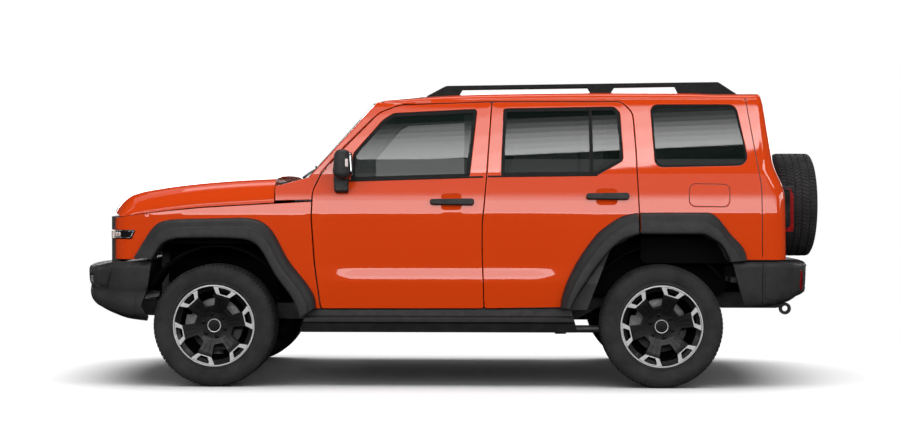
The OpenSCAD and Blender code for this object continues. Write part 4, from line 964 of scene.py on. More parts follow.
def make_windscreen():
    """Black border of the windscreen out to the pillars, and the wipers at its foot."""
    edge = [[-795, 0, 40], [795, 0, 40], [690, 1000, 50], [-690, 1000, 50]]
    hole = [[-700, 90, 60], [700, 90, 60], [620, 950, 60], [-620, 950, 60]]
    border = sheet_panel([edge, hole], screen_point, 1.5, 4.0, 4.0, 60, 30, 2)
    make("windscreen_border", border, "gloss", "body", "glass")
    blades = []
    for y0, y1 in ((-640, 60), (-60, 600)):
        ys = np.linspace(y0, y1, 14)
        path = screen_point(np.stack([ys, np.linspace(20, 120, 14)], 1)) + [-9, 0, 9]
        blades += [tube(path, 6, 8)]
        arm = np.stack([np.linspace(y1 + 40, (y0 + y1) / 2, 8), np.linspace(-40, 62, 8)], 1)
        blades += [tube(screen_point(arm) + [-16, 0, 16], np.linspace(9, 5, 8), 8)]
    make("windscreen_wipers", joined(blades), "dark", "body", "plastic")


# Wheels

WINDOW_TURN = -17.4
TREAD_BLOCKS = 84  # in each row of the tread
RIM_WINDOW = [[118, -26, 10], [195, -57, 15], [233, -43, 8], [237.5, 0, 0], [233, 43, 8], [195, 57, 15], [118, 26, 10]]
RIM_POCKET = [[199, -21, 4], [232, -42, 5], [236, 0, 0], [232, 42, 5], [199, 21, 4]]
SPOKE_RIDGE = [[84, -11, 4], [181, -23, 6], [181, 23, 6], [84, 11, 4]]
RIDGE_HOLE = [[100, -4, 2], [170, -13, 4], [170, 13, 4], [100, 4, 2]]
# Half of the tyre: share of the sidewall from the bead, share of the half width
TYRE_HALF = [
    [-0.17, 0.74], [-0.02, 0.815], [0.02, 0.85], [0.05, 0.90], [0.10, 0.915], [0.14, 0.90], [0.25, 0.945],
    [0.40, 0.985], [0.55, 1.0], [0.68, 0.985], [0.80, 0.945], [0.88, 0.89], [0.925, 0.82], [0.93, 0.6], [0.93, 0.0]]


def circle(r, n=120):
    a = np.arange(n) * 2 * math.pi / n
    return r * np.stack([np.cos(a), np.sin(a)], 1)


def spun(p, degrees):
    a = math.radians(degrees)
    return np.asarray(p) @ np.array([[math.cos(a), math.sin(a)], [-math.sin(a), math.cos(a)]])


def dish(k, h, lift=0.0):
    """Face of a rim, hollow round the hub and rising to its edge."""
    table = [[0, h - 46 + lift], [70, h - 45 + lift], [110, h - 38 + lift], [190, h - 22 + lift], [260, h - 20 + lift]]
    return lambda q: np.column_stack([q, spline(table, np.hypot(q[:, 0], q[:, 1]) / k)[:, 0]])


def rim_shapes(k, h):
    """Parts of a rim about +Z with its outside at +Z: radii are scaled by k and h is half its width."""
    turns = [WINDOW_TURN + 60 * i for i in range(6)]
    cut = lambda table, angle: spun(rounded(table) * k, angle)
    holes = [cut(RIM_WINDOW, a) for a in turns] + [cut(RIM_POCKET, a + 30) for a in turns]
    face = sheet_panel([circle(250 * k)] + holes, dish(k, h), 4.0, 24.0, 26.0, 16, 9, 3)
    spokes = [[cut(SPOKE_RIDGE, a + 30), cut(RIDGE_HOLE, a + 30)] for a in turns]
    ridges = panels(spokes, dish(k, h, 4.5), 2.0, 6.0, 5.0, 20, 8, 3)
    arc = [[246.5 * math.cos(a), 246.5 * math.sin(a), 0] for a in np.radians(np.linspace(-18.4, 18.4, 9))]
    plate = [[191, -43.5, 4], *arc, [191, 43.5, 4]]
    plates = [[cut(plate, a + 30), grown(cut(RIM_POCKET, a + 30), 1.5)] for a in turns]
    brackets = panels(plates, dish(k, h, 1.8), 1.2, 3.0, 2.6, 14, 6, 3)
    r = RIM_R * k
    barrel = lathe([
        [r - 38, 18 - h], [r - 6, 18 - h], [r - 6, 25 - h], [r - 22.4, 33 - h], [r - 22.4, h - 33], [r - 2, h - 24],
        [r - 2, h - 17], [r - 10, h - 17], [r - 12, h - 26], [r - 38, h - 40]], 96)
    lip = lathe([
        [r - 8, h - 24], [r - 0.4, h - 23], [r + 1, h - 17], [r - 1, h - 13.2], [r - 6, h - 13], [r - 9, h - 16]], 96)
    ring = lathe([[36.5, h - 40], [41.5, h - 40], [41.5, h - 36.4], [40, h - 35.2], [37, h - 35.6]], 60)
    cap = lathe([[0, h - 50], [43, h - 50], [43, h - 40], [40.5, h - 37], [24, h - 35.4], [0, h - 34.8]], 60)
    hub = lathe([[30, -12], [74, -12], [76, h - 74], [96, h - 66], [96, h - 58], [30, h - 58]], 48)
    nut = joined([lathe([[0, 0], [10.5, 0], [10.5, 11], [7.5, 16], [0, 17]], 6),
                  lathe([[12, -1], [15, -1], [15, 2.5], [12, 2.5]], 24)])
    nuts = [placed(nut, Matrix.Translation((*spun([[71, 0]], a)[0], h - 46))) for a in turns]
    shield = lathe([[40, -36], [206, -42], [212, -34], [206, -38], [40, -32]], 72)
    disc = lathe([
        [58, -7], [163, -7], [165, -5.5], [165, -2.2], [146, -2.2], [146, 2.2], [165, 2.2], [165, 5.5], [163, 7],
        [106, 7], [101, 22], [58, 22]], 96)
    return {
        "face": (face, "black_alloy"), "ridges": (ridges, "black_alloy"), "barrel": (barrel, "black_alloy"),
        "hub": (hub, "cast"), "brackets": (brackets, "machined"), "lip": (lip, "machined"), "cap": (cap, "black_alloy"),
        "cap_ring": (ring, "machined"), "nuts": (joined(nuts), "gloss"), "disc": (disc, "disc"),
        "shield": (shield, "arch")}


def blocks(outline, count, share, slant, phase=0.0):
    """Tread blocks round +Z from an anticlockwise outline of (radius, height); slant turns them with height."""
    p = np.asarray(outline, float)
    m, pitch = len(p), 2 * math.pi / count
    verts, faces = [], []
    for k in range(count):
        for end in (0, share):
            a = (k + phase + end + slant * p[:, 1] / 100) * pitch
            verts.append(np.stack([p[:, 0] * np.cos(a), p[:, 0] * np.sin(a), p[:, 1]], 1))
        s = 2 * m * k
        faces += [[s + j, s + m + j, s + m + (j + 1) % m, s + (j + 1) % m] for j in range(m)]
        faces += [list(range(s, s + m)), list(range(s + m, s + 2 * m))[::-1]]
    return np.concatenate(verts), faces, None


def tyre_shape(r, h, bead):
    """Tyre about +Z: its carcass with sidewall rings, and a tread of five rows of blocks."""
    n = len(TYRE_HALF)
    half = spline(np.column_stack([np.arange(n), TYRE_HALF]), np.linspace(0, n - 1, 64))
    half[:, 1] += sum(0.009 * np.exp(-((half[:, 0] - c) / 0.014) ** 2) for c in (0.30, 0.62))
    half = half * [r - bead, h] + [bead, 0]
    carcass = lathe(np.concatenate([half[:-1] * [1, -1], half[::-1]]), 96)
    shoulder = np.array([
        [r - 14, 0.60 * h], [r - 0.6, 0.60 * h], [r - 0.6, 0.75 * h], [r - 3.5, 0.84 * h], [r - 8, 0.885 * h],
        [r - 15, 0.915 * h], [r - 18, 0.88 * h]])
    rows = [carcass, blocks(shoulder, TREAD_BLOCKS, 0.8, 0.3),
            blocks((shoulder * [1, -1])[::-1], TREAD_BLOCKS, 0.8, 0.3, 0.4)]
    for low, high, slant, phase in ((-0.53, -0.2, 1.5, 0.2), (-0.13, 0.13, -2.0, 0.0), (0.2, 0.53, 1.5, 0.6)):
        row = [[r - 14, low * h], [r, low * h], [r, high * h], [r - 14, high * h]]
        rows.append(blocks(row, TREAD_BLOCKS, 0.84, slant, phase))
    return joined(rows)


def make_wheels():
    """Rims and tyres of the four wheels and the spare."""
    rim, tyre = rim_shapes(1.0, TYRE_W / 2), tyre_shape(TYRE_R, TYRE_W / 2, RIM_R)
    sets = []
    for end, x in (("front", FRONT_AXLE), ("rear", REAR_AXLE)):
        for side, sign in zip(SIDES, (-1, 1)):
            where = Matrix(((1, 0, 0, x), (0, 0, sign, sign * WHEEL_Y), (0, -sign, 0, TYRE_R), (0, 0, 0, 1)))
            name = f"{end}_{side}"
            sets.append((name, f"wheel_{name}", where, rim, tyre, f"rim_{name}", f"tyre_{name}"))
    where = Matrix(((0, 0, 1, SPARE_X), (0, 1, 0, 0), (-1, 0, 0, SPARE_Z), (0, 0, 0, 1)))
    sets.append(("spare", "tailgate", where, rim_shapes(SPARE_RIM_R / RIM_R, SPARE_W / 2),
                 tyre_shape(SPARE_R, SPARE_W / 2, SPARE_RIM_R), "spare_rim", "spare_tyre"))
    for name, body, where, parts, rubber, rim_node, tyre_node in sets:
        for part, (shape, mat) in parts.items():
            make(f"{name}_rim_{part}", placed(shape, where), mat, body, "alloy", (rim_node,))
        make(f"{name}_tyre_tread", placed(rubber, where), "tyre", body, "rubber", (tyre_node,))


# Handles, mirrors, lamps and bumpers

# Door handles: name, bodies, X from and to, height
HANDLES = [("front", FRONT_DOORS, -98, 172, 1137), ("rear", REAR_DOORS, 860, 1123, 1170)]


def make_handles():
    """Pull handles, each over a finger cup in its door."""
    for name, bodies, x0, x1, z in HANDLES:
        bar = [[x0, z - 18, 15], [x1, z - 21, 17], [x1, z + 21, 17], [x0, z + 18, 15]]
        grip = sheet_panel([bar], set_in(left_side, -35), 9.0, 13.0, 15.0, 16, 9, 5)
        pair(f"{name}_handle_grip", grip, "plastic", bodies, "plastic", both_sides(f"{name}_trim"))
        feet = [[block(a, b, z - 14, z + 14, 9)] for a, b in ((x0 + 4, x0 + 56), (x1 - 62, x1 - 4))]
        feet = panels(feet, set_in(left_side, -22), 3.0, 22.0, 22.0, 16, 8, 3)
        pair(f"{name}_handle_feet", feet, "dark", bodies, "plastic")
        seam = rounded(block(x1 - 58, x1 - 55, z - 19, z + 19, 5), 3)
        seam = sheet_panel([seam], set_in(left_side, -35.6), 0.8, 2.0, 2.0, 16, 8, 2)
        pair(f"{name}_handle_seam", seam, "dark", bodies)
        v, f, n = sheet_panel([cup_outline(name)], set_in(left_side, 1.6), 0.5, 1.0, 0.9, 12, 8, 2)
        n = n + [0, 0, -0.28]
        cup = (v, f, n / np.linalg.norm(n, axis=1)[:, None])
        pair(f"{name}_handle_cup", cup, "paint", bodies, "paint")


MIRROR = [[-688, 1282, 46], [-674, 1462, 50], [-584, 1457, 44], [-572, 1276, 44]]


def make_mirrors():
    """Door mirrors: shell, glass and foot."""
    shell = sheet_panel([MIRROR], plane(1, -1058), 40.0, 172.0, 172.0, 24, 12, 7)
    pair("mirror_shell", shell, "plastic", FRONT_DOORS, "plastic", both_sides("front_trim"))
    behind = lambda q: np.column_stack([-571.5 - (q[:, 1] - 1276) * 0.065, -q[:, 0], q[:, 1]])
    outline = [[906, 1300, 24], [1036, 1300, 24], [1030, 1440, 24], [906, 1440, 24]]
    v, f, n = glass = sheet_panel([outline], behind, 2.0, 5.0, 5.0, 24, 10, 3)
    if np.mean(n[:, 0]) < 0:
        glass = (v, [face[::-1] for face in f], -n)
    pair("mirror_glass", glass, "chrome", FRONT_DOORS, "glass")
    signal = [[-606, 1352, 6], [-606, 1402, 6], [-588, 1400, 6], [-588, 1350, 6]]
    shape = sheet_panel([signal], plane(1, -1059.5), 2.0, 4.0, 4.0, 20, 8, 3)
    pair("mirror_signal", shape, "side_lamp", FRONT_DOORS, "lens")
    foot = [[-686, 1190, 18], [-694, 1296, 22], [-602, 1300, 22], [-600, 1190, 18]]
    shape = sheet_panel([foot], set_in(left_side, -62), 16.0, 62.0, 62.0, 20, 10, 5)
    pair("mirror_foot", shape, "dark", FRONT_DOORS, "plastic")


# Side view of a roof rail; its feet stand on the roof
RAIL = [
    [-157, 1784, 8], [72, 1797, 4], [96, 1838, 6], [878, 1848, 6], [903, 1806, 4], [1016, 1808, 4], [1044, 1850, 6],
    [1420, 1856, 6], [1446, 1806, 4], [1822, 1798, 6], [1690, 1885, 30], [1331, 1881, 0], [-6, 1864, 60]]


def make_rails():
    """Roof rails, each on three feet."""
    side = lambda q: np.column_stack([q[:, 0], np.maximum(q[:, 1] - 1800, 0) * 0.06 - 683, q[:, 1]])
    shape = sheet_panel([RAIL], side, 6.0, 30.0, 37.0, 30, 12, 4)
    pair("roof_rail_bar", shape, "band", BODY, "plastic", ("roof_rails", None))


# Bumper stations from the left end to the middle: X, Y, way out in degrees, top, underside
NOSE = [
    [-1800, -929, 90, 777, 392], [-1850, -930, 90, 776, 398], [-1960, -926, 88, 776, 412], [-2080, -898, 66, 768, 442],
    [-2182, -818, 44, 748, 472], [-2256, -660, 24, 740, 492], [-2322, -400, 12, 736, 496], [-2364, 0, 0, 735, 496]]
TAIL = [
    [1740, -900, 90, 777, 482], [1850, -900, 90, 777, 486], [2000, -898, 88, 777, 500], [2110, -868, 62, 770, 522],
    [2190, -780, 34, 758, 552], [2250, -600, 16, 757, 558], [2285, -340, 8, 757, 560], [2302, 0, 0, 757, 560]]
BUMPER = [[0, 34], [0.03, 10], [0.08, 2], [0.13, 0], [0.42, 3], [0.5, 13], [0.72, 12], [0.9, 22], [1, 58]]
REAR_BUMPER = [[0, 30], [0.03, 8], [0.09, 0], [0.6, 3], [0.84, 8], [0.95, 18], [1, 42]]
TALL = 300.0  # a bumper's face is drawn this high and stretched to its stations


def bumper_face(stations, end):
    """A bumper's face by the distance along it from its left end and the height on it, and its length."""
    t = np.asarray(stations, float)
    t = np.concatenate([t, t[-2::-1] * [1, -1, -1, 1, 1]])
    length = np.concatenate([[0], np.cumsum(np.linalg.norm(np.diff(t[:, :2], axis=0), axis=1))])

    def surface(q):
        x, y, out, top, low = spline(np.column_stack([length, t]), q[:, 0]).T
        share = np.clip(q[:, 1] / TALL if end < 0 else 1 - q[:, 1] / TALL, 0, 1)
        depth = spline(BUMPER if end < 0 else REAR_BUMPER, share)[:, 0]
        turn = np.radians(out)
        return np.stack([x - end * depth * np.cos(turn), y + depth * np.sin(turn), top + (low - top) * share], 1)
    return surface, length[-1]


def two_of(table, run):
    """A table on the left half of a bumper's face and its mirror image on the right half."""
    return [table, [[run - x, z, r] for x, z, r in table]]


def make_front_bumper():
    """Front moulding with its raised panels, fog lamps, chin and air bars."""
    face, run = bumper_face(NOSE, -1)
    end = [[14, 1, 10], [34, 120, 60], [80, 228, 12], [64, 250, 10], [40, TALL - 1, 10]]
    shape = sheet_panel([two_of(end, run)[1] + end[::-1]], face, 4.0, 26.0, 16.0, 22, 16, 4)
    make("front_bumper_moulding", shape, "plastic", "body", "plastic", ("front_bumper",))
    panel = [[262, 40, 14], [480, 40, 14], [580, 56, 14], [580, 150, 14], [310, 160, 14]]
    hole = [[456, 66, 10], [560, 72, 10], [560, 132, 10], [456, 138, 10]]
    holes = two_of(hole, run)
    raised = panels(zip(two_of(panel, run), holes), set_in(face, -6), 4.0, 8.0, 8.0, 22, 12, 4)
    make("fog_lamp_panels", raised, "plastic", "body", "plastic")
    lamps = panels([[grown(p, -6)] for p in holes], set_in(face, -3), 6.0, 8.0, 8.0, 14, 8, 4)
    make("fog_lamp_lenses", lamps, "lens", "body", "glass")
    beds = panels([[grown(p, 2)] for p in holes], set_in(face, -0.6), 0.5, 2.0, 2.0, 22, 12, 2)
    make("fog_lamp_beds", beds, "lamp", "body", "steel")
    middle = run / 2
    chin = [[120, 182, 12], [run - 120, 182, 12], [run - 120, 280, 16], [120, 280, 16]]
    cut = [[middle - 420, 196, 16], [middle + 420, 196, 16], [middle + 400, 252, 16], [middle - 400, 252, 16]]
    lower = sheet_panel([chin, cut], set_in(face, -3), 3.0, 5.0, 5.0, 22, 16, 3)
    make("front_chin", lower, "dark", "body", "plastic")
    bars = [[block(x, x + 12, 198, 250, 4)] for x in np.arange(middle - 380, middle + 380, 40)]
    make("front_air_bars", panels(bars, set_in(face, -2), 2.0, 4.0, 4.0, 20, 10, 2), "gloss", "body", "plastic")


def make_rear_bumper():
    """Rear moulding with its seams, raised panels, reflectors and tread plate."""
    face, run = bumper_face(TAIL, 1)

    def lip(p):
        """Rounding of the moulding, small at the seams near its ends."""
        along = np.minimum(p[:, 0], run - p[:, 0])
        return np.where((along > 190) & (along < 200) & (p[:, 1] > 5) & (p[:, 1] < 295), 1.0, 4.0)
    edge = [[86, 1, 12], [run - 86, 1, 12], [run - 10, TALL - 1, 8], [10, TALL - 1, 8]]
    seams = [block(194, 197, 12, 288, 0), block(run - 197, run - 194, 12, 288, 0)]
    shape = sheet_panel([edge] + seams, face, lip, 26.0, 16.0, 22, 14, 4)
    make("rear_bumper_moulding", shape, "plastic", "body", "plastic", ("rear_bumper",))
    panel = [[212, 262, 10], [290, 92, 20], [470, 82, 14], [640, 82, 14], [640, 30, 14], [300, 30, 14], [208, 60, 14]]
    raised = panels([[p] for p in two_of(panel, run)], set_in(face, -4), 4.0, 6.0, 6.0, 22, 14, 4)
    make("rear_bumper_panels", raised, "plastic", "body", "plastic")
    strip = [[476, 66, 6], [506, 56, 6], [500, 238, 6], [482, 238, 6]]
    marks = panels([[p] for p in two_of(strip, run)], set_in(face, -7), 3.0, 8.0, 8.0, 18, 10, 3)
    make("rear_reflectors", marks, "red", "body", "glass")
    plate = block(550, run - 550, TALL * (1 - 0.12), TALL * (1 - 0.02), 8)
    tread = sheet_panel([plate], set_in(face, -3), 2.0, 4.0, 4.0, 22, 14, 2)
    make("rear_tread_plate", tread, "dark", "body", "plastic")


def make_shelves():
    """Top plates that close the bumpers against the body."""
    for name, stations, end, inner in (("front", NOSE, -1, -2080), ("rear", TAIL, 1, 2074)):
        face, run = bumper_face(stations, end)
        at = np.linspace(300, run - 300, 60)
        outer = face(np.stack([at, np.full(60, 2.0 if end < 0 else TALL - 2)], 1))
        rows = []
        for x, y, z in outer:
            reach = inner if (inner - x) * end < 0 else x - end * 4
            shares = np.linspace(0, 1, 6)
            rows.append(np.stack([x - end * 4 + (reach - x + end * 4) * shares, np.full(6, y), np.full(6, z - 6.0)], 1))
        shape = grid_panel(np.array(rows)[:, ::-1] if end > 0 else np.array(rows), 4)
        softened(make(f"{name}_bumper_shelf", shape, "dark", "body", "plastic"), 1.0)


LAMP_X, LAMP_Y, LAMP_Z = -2052, 610, 925
# Round headlamps: name, finish, slot, replaced nodes, and outlines of (radius, height) with their segments
HEADLAMP = [
    ("bowls", "lamp", "steel", (),
     [([[0, -14], [40, -14], [100, 20], [106, 34], [110, 34], [110, -22], [0, -22]], 72)]),
    ("rings", "chrome", "steel", (),
     [([[100, 30], [111, 30], [111, 44], [106, 47], [101, 44]], 72),
      ([[40, -14], [47, -14], [47, 14], [44, 17], [40, 14]], 48)]),
    ("domes", "lens", "lens", (), [([[0, -12], [40, -12], [40, 4], [34, 16], [20, 23], [0, 26]], 48)]),
    ("covers", "lens", "lens", ("headlamps",),
     [([[0, 46], [100, 42], [109, 36], [109, 39], [101, 46], [60, 51], [0, 53]], 72)])]


def make_lamps():
    """Round headlamps, corner lamps, the grille's backing and the tail lamps' covers."""
    places = [Matrix(((0, 0, -1, LAMP_X), (0, 1, 0, y), (1, 0, 0, LAMP_Z), (0, 0, 0, 1))) for y in (-LAMP_Y, LAMP_Y)]
    for name, mat, slot, nodes, outlines in HEADLAMP:
        shapes = [placed(lathe(*outline), where) for where in places for outline in outlines]
        make(f"headlamp_{name}", joined(shapes), mat, "body", slot, nodes)
    grille = lambda back: lambda q: np.column_stack([nose_x(q[:, 0]) + back, -q[:, 0], q[:, 1]])
    backing = sheet_panel([block(-470, 470, 770, 1036, 10)], grille(58), 2.0, 4.0, 4.0, 40, 30, 2)
    make("grille_backing", backing, "dark", "body", "plastic")
    bars = [[block(-470, 470, z - 9, z + 9, 5)] for z in (775, 827, 879, 931, 983)]
    make("grille_bars", panels(bars, grille(-5), 3.0, 8.0, 8.0, 30, 24, 3), "gloss", "body", "plastic")
    end = NOSE_END
    housing = [[-1919, 966, 7], [-1943, 909, 7], [end - 6, 909, 7], [end - 6, 966, 7]]
    base = sheet_panel([housing], set_in(left_side, -8), 3.0, 10.0, 9.0, 14, 8, 3)
    pair("corner_lamp_base", base, "gloss", BODY, "plastic")
    border = sheet_panel([inset(housing, 6), inset(housing, 10)], set_in(left_side, -10), 1.2, 3.0, 3.0, 14, 8, 2)
    pair("corner_lamp_frame", border, "chrome", BODY, "steel")
    cells = [[block(end + a, end + b, 922, 952, 8)] for a, b in ((46, 76), (84, 100))]
    tip = block(end - 10, end + 38, 910, 965, 9)
    cells = joined([panels(cells, set_in(left_side, -13), 4.0, 6.0, 6.0, 10, 6, 3),
                    sheet_panel([tip], set_in(left_side, -23), 8.0, 22.0, 22.0, 12, 8, 4)])
    pair("corner_lamp_cells", cells, "side_lamp", BODY, "lens")
    cover = [[2070, 958, 8], [2121, 990, 6], [2118, 1214, 6], [2070, 1230, 8]]
    cover = sheet_panel([cover], plane(1, -793), 3.0, 8.0, 8.0, 20, 12, 3)
    pair("tail_lamp_cover", cover, "gloss", BODY, "plastic")
    cap = sheet_panel([block(2070, 2142, -794, -688, 8)], plane(2, 1237), 5.0, 14.0, 10.0, 20, 12, 4)
    pair("tail_lamp_cap", cap, "plastic", BODY, "plastic")
    ribs = [[block(-782, -698, z - 4, z + 4, 3)] for z in (1012, 1084, 1156)]
    pair("tail_lamp_ribs", panels(ribs, plane(0, 2142.5), 1.5, 4.0, 4.0, 20, 10, 2), "gloss", BODY, "plastic")


# Cabin


def pad(middle, u, v, table, crown, thick, radius=30.0):
    """Crowned pad on a plane through middle: u and v are its directions and u x v its way out."""
    o, u, v = np.asarray(middle, float), np.asarray(u, float), np.asarray(v, float)
    u, v = u / np.linalg.norm(u), v / np.linalg.norm(v)
    p = rounded(table)
    centre, half = (p.max(0) + p.min(0)) / 2, np.ptp(p, axis=0) / 2

    def surface(q):
        share = np.clip(1 - ((q - centre) / half) ** 2, 0, 1)
        return o + q[:, :1] * u + q[:, 1:] * v + np.cross(u, v) * (crown * share[:, :1] * share[:, 1:])
    return sheet_panel([p], surface, radius, thick * 0.75, thick, 26, 16, 6)


FRONT_SEAT_Y, BENCH_Y = 385, 295


def make_seats():
    """Front seats and rear bench as crowned pads on hard bases."""
    centres, sides, heads, bases = [], [], [], []
    along, across = (0.9973, 0, -0.073), (0, 1, 0)
    left, up = (0, -1, 0), (0.1644, 0, 0.9864)
    for y in (-FRONT_SEAT_Y, FRONT_SEAT_Y):
        centres.append(pad((45, y, 858), along, across, block(-228, 205, -158, 158, 50), 20, 130))
        centres.append(pad((300, y, 1088), left, up, block(-150, 150, -222, 225, 50), 18, 70))
        for sign in (-1, 1):
            sides.append(pad((45, y + sign * 203, 866), along, across, block(-230, 205, -46, 46, 40), 16, 140, 26))
            sides.append(pad((294, y + sign * 195, 1080), left, up, block(-44, 44, -215, 225, 40), 14, 80, 26))
        heads.append(pad((352, y, 1456), left, (0.05, 0, 1), block(-128, 128, -80, 84, 50), 14, 76, 28))
        for post in (-60, 60):
            bases.append(tube([[375, y + post, 1300], [385, y + post, 1395]], 7, 12))
        bases.append(placed(prism(rounded(block(-150, 290, -215, 215, 40)), 560, 725), Matrix.Translation((0, y, 0))))
    for y in (-BENCH_Y, BENCH_Y):
        centres.append(pad((780, y, 828), (0.9965, 0, -0.083), across, block(-172, 175, -288, 288, 60), 22, 130))
        centres.append(pad((1034, y, 1058), left, (0.2614, 0, 0.9652), block(-288, 288, -236, 240, 60), 20, 70))
        heads.append(pad((1120, y, 1372), left, (0.2, 0, 1), block(-110, 110, -55, 60, 40), 12, 64, 24))
    bases.append(prism(rounded(block(620, 1010, -570, 570, 40)), 590, 715))
    pads = (("seat_centres", centres, "cloth"), ("seat_sides", sides, "hide"), ("head_rests", heads, "hide"))
    for name, shapes, mat in pads:
        make(name, joined(shapes), mat, "body", "fabric", ("seats",))
    softened(make("seat_bases", joined(bases), "trim", "body", "plastic"), 4.0)


def make_dash():
    """Screen, instrument panel and air vents on the dashboard."""
    face = lambda x: lambda q: np.column_stack([x - (q[:, 1] - 1180) * 0.35, q[:, 0], q[:, 1]])
    screens = [[block(a, b, 1150, 1262, 12)] for a, b in ((-190, 190), (-560, -230))]
    make("dash_screens", panels(screens, face(-470), 3.0, 14.0, 14.0, 30, 16, 3), "gloss", "body", "plastic")
    vents = [[block(y - 62, y + 62, z, z + 10, 4)] for y in (-600, -90, 90, 600) for z in (1090, 1106, 1122)]
    make("dash_vents", panels(vents, face(-452), 2.0, 12.0, 12.0, 20, 10, 3), "dark", "body", "plastic")


# Inner walls of the wheel houses: name, Y, outline
ARCH_WALLS = [
    ("rear", -632, [[900, 560, 40], [1745, 560, 40], [1735, 900, 60], [1640, 1050, 90], [1080, 1050, 90],
                    [930, 900, 60]]),
    ("front", -470, [[-1800, 600, 40], [-1080, 600, 40], [-1120, 880, 60], [-1240, 1010, 90], [-1640, 1010, 90],
                     [-1780, 880, 60]])]
# Thin linings of the engine bay and the load space: name, surface, outline, slot
LININGS = [
    ("bay_tray", plane(2, 884), block(-2036, -1075, -832, -290, 20), "steel"),
    ("bay_lining", plane(1, -836), block(-1860, -1085, 878, 968, 20), "plastic"),
    ("cargo_corner", plane(2, 766),
     [[1735, -866, 20], [1990, -866, 60], [2062, -790, 20], [2062, -600, 20], [1735, -600, 20]], "plastic"),
    ("cargo_lining", plane(1, -790), block(1200, 2010, 758, 1040, 40), "plastic")]
# Boxes beside the engine: X from and to, Y from and to, height
BAY_BOXES = [
    (-1900, -1640, -640, -450, 1040), (-1560, -1420, -700, -560, 1010), (-1880, -1700, 470, 640, 1020)]


def make_arch_walls():
    for name, y, outline in ARCH_WALLS:
        wall = sheet_panel([outline], plane(1, y), 3.0, 5.0, 5.0, 60, 30, 2)
        pair(f"{name}_arch_wall", wall, "arch", BODY, "plastic")


def level(z, crown=0.0, ribs=0.0):
    """Flat surface at a height, seen from above, with a crown and ribs across Y."""
    def surface(q):
        lift = crown * (1 - (q[:, 1] / 240) ** 2) + ribs * np.clip(3 * np.sin(q[:, 0] / 14), -1, 1)
        return np.column_stack([q[:, 0], q[:, 1], z + lift])
    return surface


def make_bay():
    """Engine bay: cover, linings, top rail of the radiator, battery, bottle and hoses; and the load space's linings."""
    ribbed = [[block(-1760, -1300, y - 70, y + 70, 30)] for y in (-110, 110)]
    cover = joined([sheet_panel([block(-1850, -1210, -246, 246, 60)], level(1100, 12), 14.0, 24.0, 4.0, 40, 18, 5),
                    panels(ribbed, level(1116, 4, 1.6), 3.0, 8.0, 5.0, 6, 12, 3)])
    make("engine_cover", cover, "dark", "body", "plastic")
    for name, surface, outline, slot in LININGS:
        pair(name, sheet_panel([outline], surface, 2.0, 5.0, 4.0, 60, 30, 2), "arch", BODY, slot)
    rail = sheet_panel([block(-2046, -1986, -735, 735, 16)], plane(2, 1036), 4.0, 14.0, 12.0, 30, 24, 3)
    make("radiator_rail", rail, "dark", "body", "plastic")
    boxes = []
    lid = lathe([[0, 0], [26, 0], [26, 14], [22, 18], [0, 18]], 36)
    for x0, x1, y0, y1, z in BAY_BOXES:
        boxes.append(sheet_panel([block(x0, x1, y0, y1, 24)], plane(2, z), 10.0, z - 880.0, 4.0, 30, 14, 4))
        boxes.append(placed(lid, Matrix.Translation(((x0 + x1) / 2, (y0 + y1) / 2, z - 2))))
    softened(make("bay_boxes", joined(boxes), "plastic", "body", "plastic"), 1.0)
    t = np.linspace(0, 1, 24)
    hoses = []
    for y, bow in ((-180, -60), (200, 90)):
        line = np.column_stack([-1874 - 146 * t, y + bow * np.sin(t * math.pi), 1000 + 30 * np.sin(t * math.pi)])
        hoses.append(tube(line, 21, 18))
    make("coolant_hoses", joined(hoses), "seal", "body", "rubber")


# Finishes of the solids that show as they are

FINISH = {
    # The bonnet's solid, seen from below, is in the darker copy of the paint: painted shade.
    "inner_paint": ["bonnet"],
    "glass": ["fixed_glass", *both_sides("front_glass")],
    "dark_glass": [*both_sides("rear_glass"), "tailgate_glass"],
    "plastic": ["front_bumper", "rear_bumper", "side_steps", "roof_rails", *both_sides("front_trim"),
                *both_sides("rear_trim"), "wheel_flares"],
    "dark": ["cowl_panel", "grille_panel", "fuel_tank"],
    "arch": ["wheel_liners"],
    "paint": ["roof_panel"],
    # The body's solids behind the painted skins are in cabin trim: real trim on the doors' inner sides, and painted
    # shade in the shut lines and door openings, which are body colour on the real car.
    "trim": ["dashboard", "steering_wheel", "seats", *both_sides("body_side"), "front_wings", *FRONT_DOORS,
             *REAR_DOORS, "tailgate"],
    "coated": ["frame_rails", "cross_members", "floor_pan", "hinge_brackets", "tow_eye"],
    "cast": ["engine_gearbox", "front_suspension", "rear_axle", *both_sides("knuckle")],
    "disc": ["exhaust"],
    "lens": ["headlamps"],
    "red": ["tail_lamps"],
    "tyre": [*both_sides("tyre_front"), *both_sides("tyre_rear"), "spare_tyre"],
    "black_alloy": [*both_sides("rim_front"), *both_sides("rim_rear"), "spare_rim"]}
BEVELLED = (
    "front_bumper", "rear_bumper", "side_steps", "roof_rails", *both_sides("front_trim"), "dashboard", "frame_rails",
    "cross_members", "engine_gearbox", "fuel_tank", "exhaust", "front_suspension", "rear_axle", *both_sides("knuckle"),
    "steering_wheel", "tow_eye", "cowl_panel", "grille_panel", "hinge_brackets")


def finish_solids():
    """Materials for the solids, with welded and softened edges where they stay in sight."""
    for key, names in FINISH.items():
        for name in names:
            solid = NODES[name]
            solid.data.materials.clear()
            solid.data.materials.append(MATS[key])
            if solid.data.has_custom_normals:
                solid.data.attributes.remove(solid.data.attributes["custom_normal"])
            weld = solid.modifiers.new("weld", "WELD")
            weld.merge_threshold = 0.00002
            if name in BEVELLED:
                softened(solid, 2.5)


# Floor and light

FLOOR_COLOUR = (0.95, 0.95, 0.95)
FLOOR_BOUNCE = (0.08, 0.08, 0.08)
WHITE = (1, 1, 1, 1)
WORLD_LIGHT = 0.34
FLAG_X, FLAG_Y, FLAG_LOW, FLAG_TOP = 13.0, 7.6, 0.004, 6.4
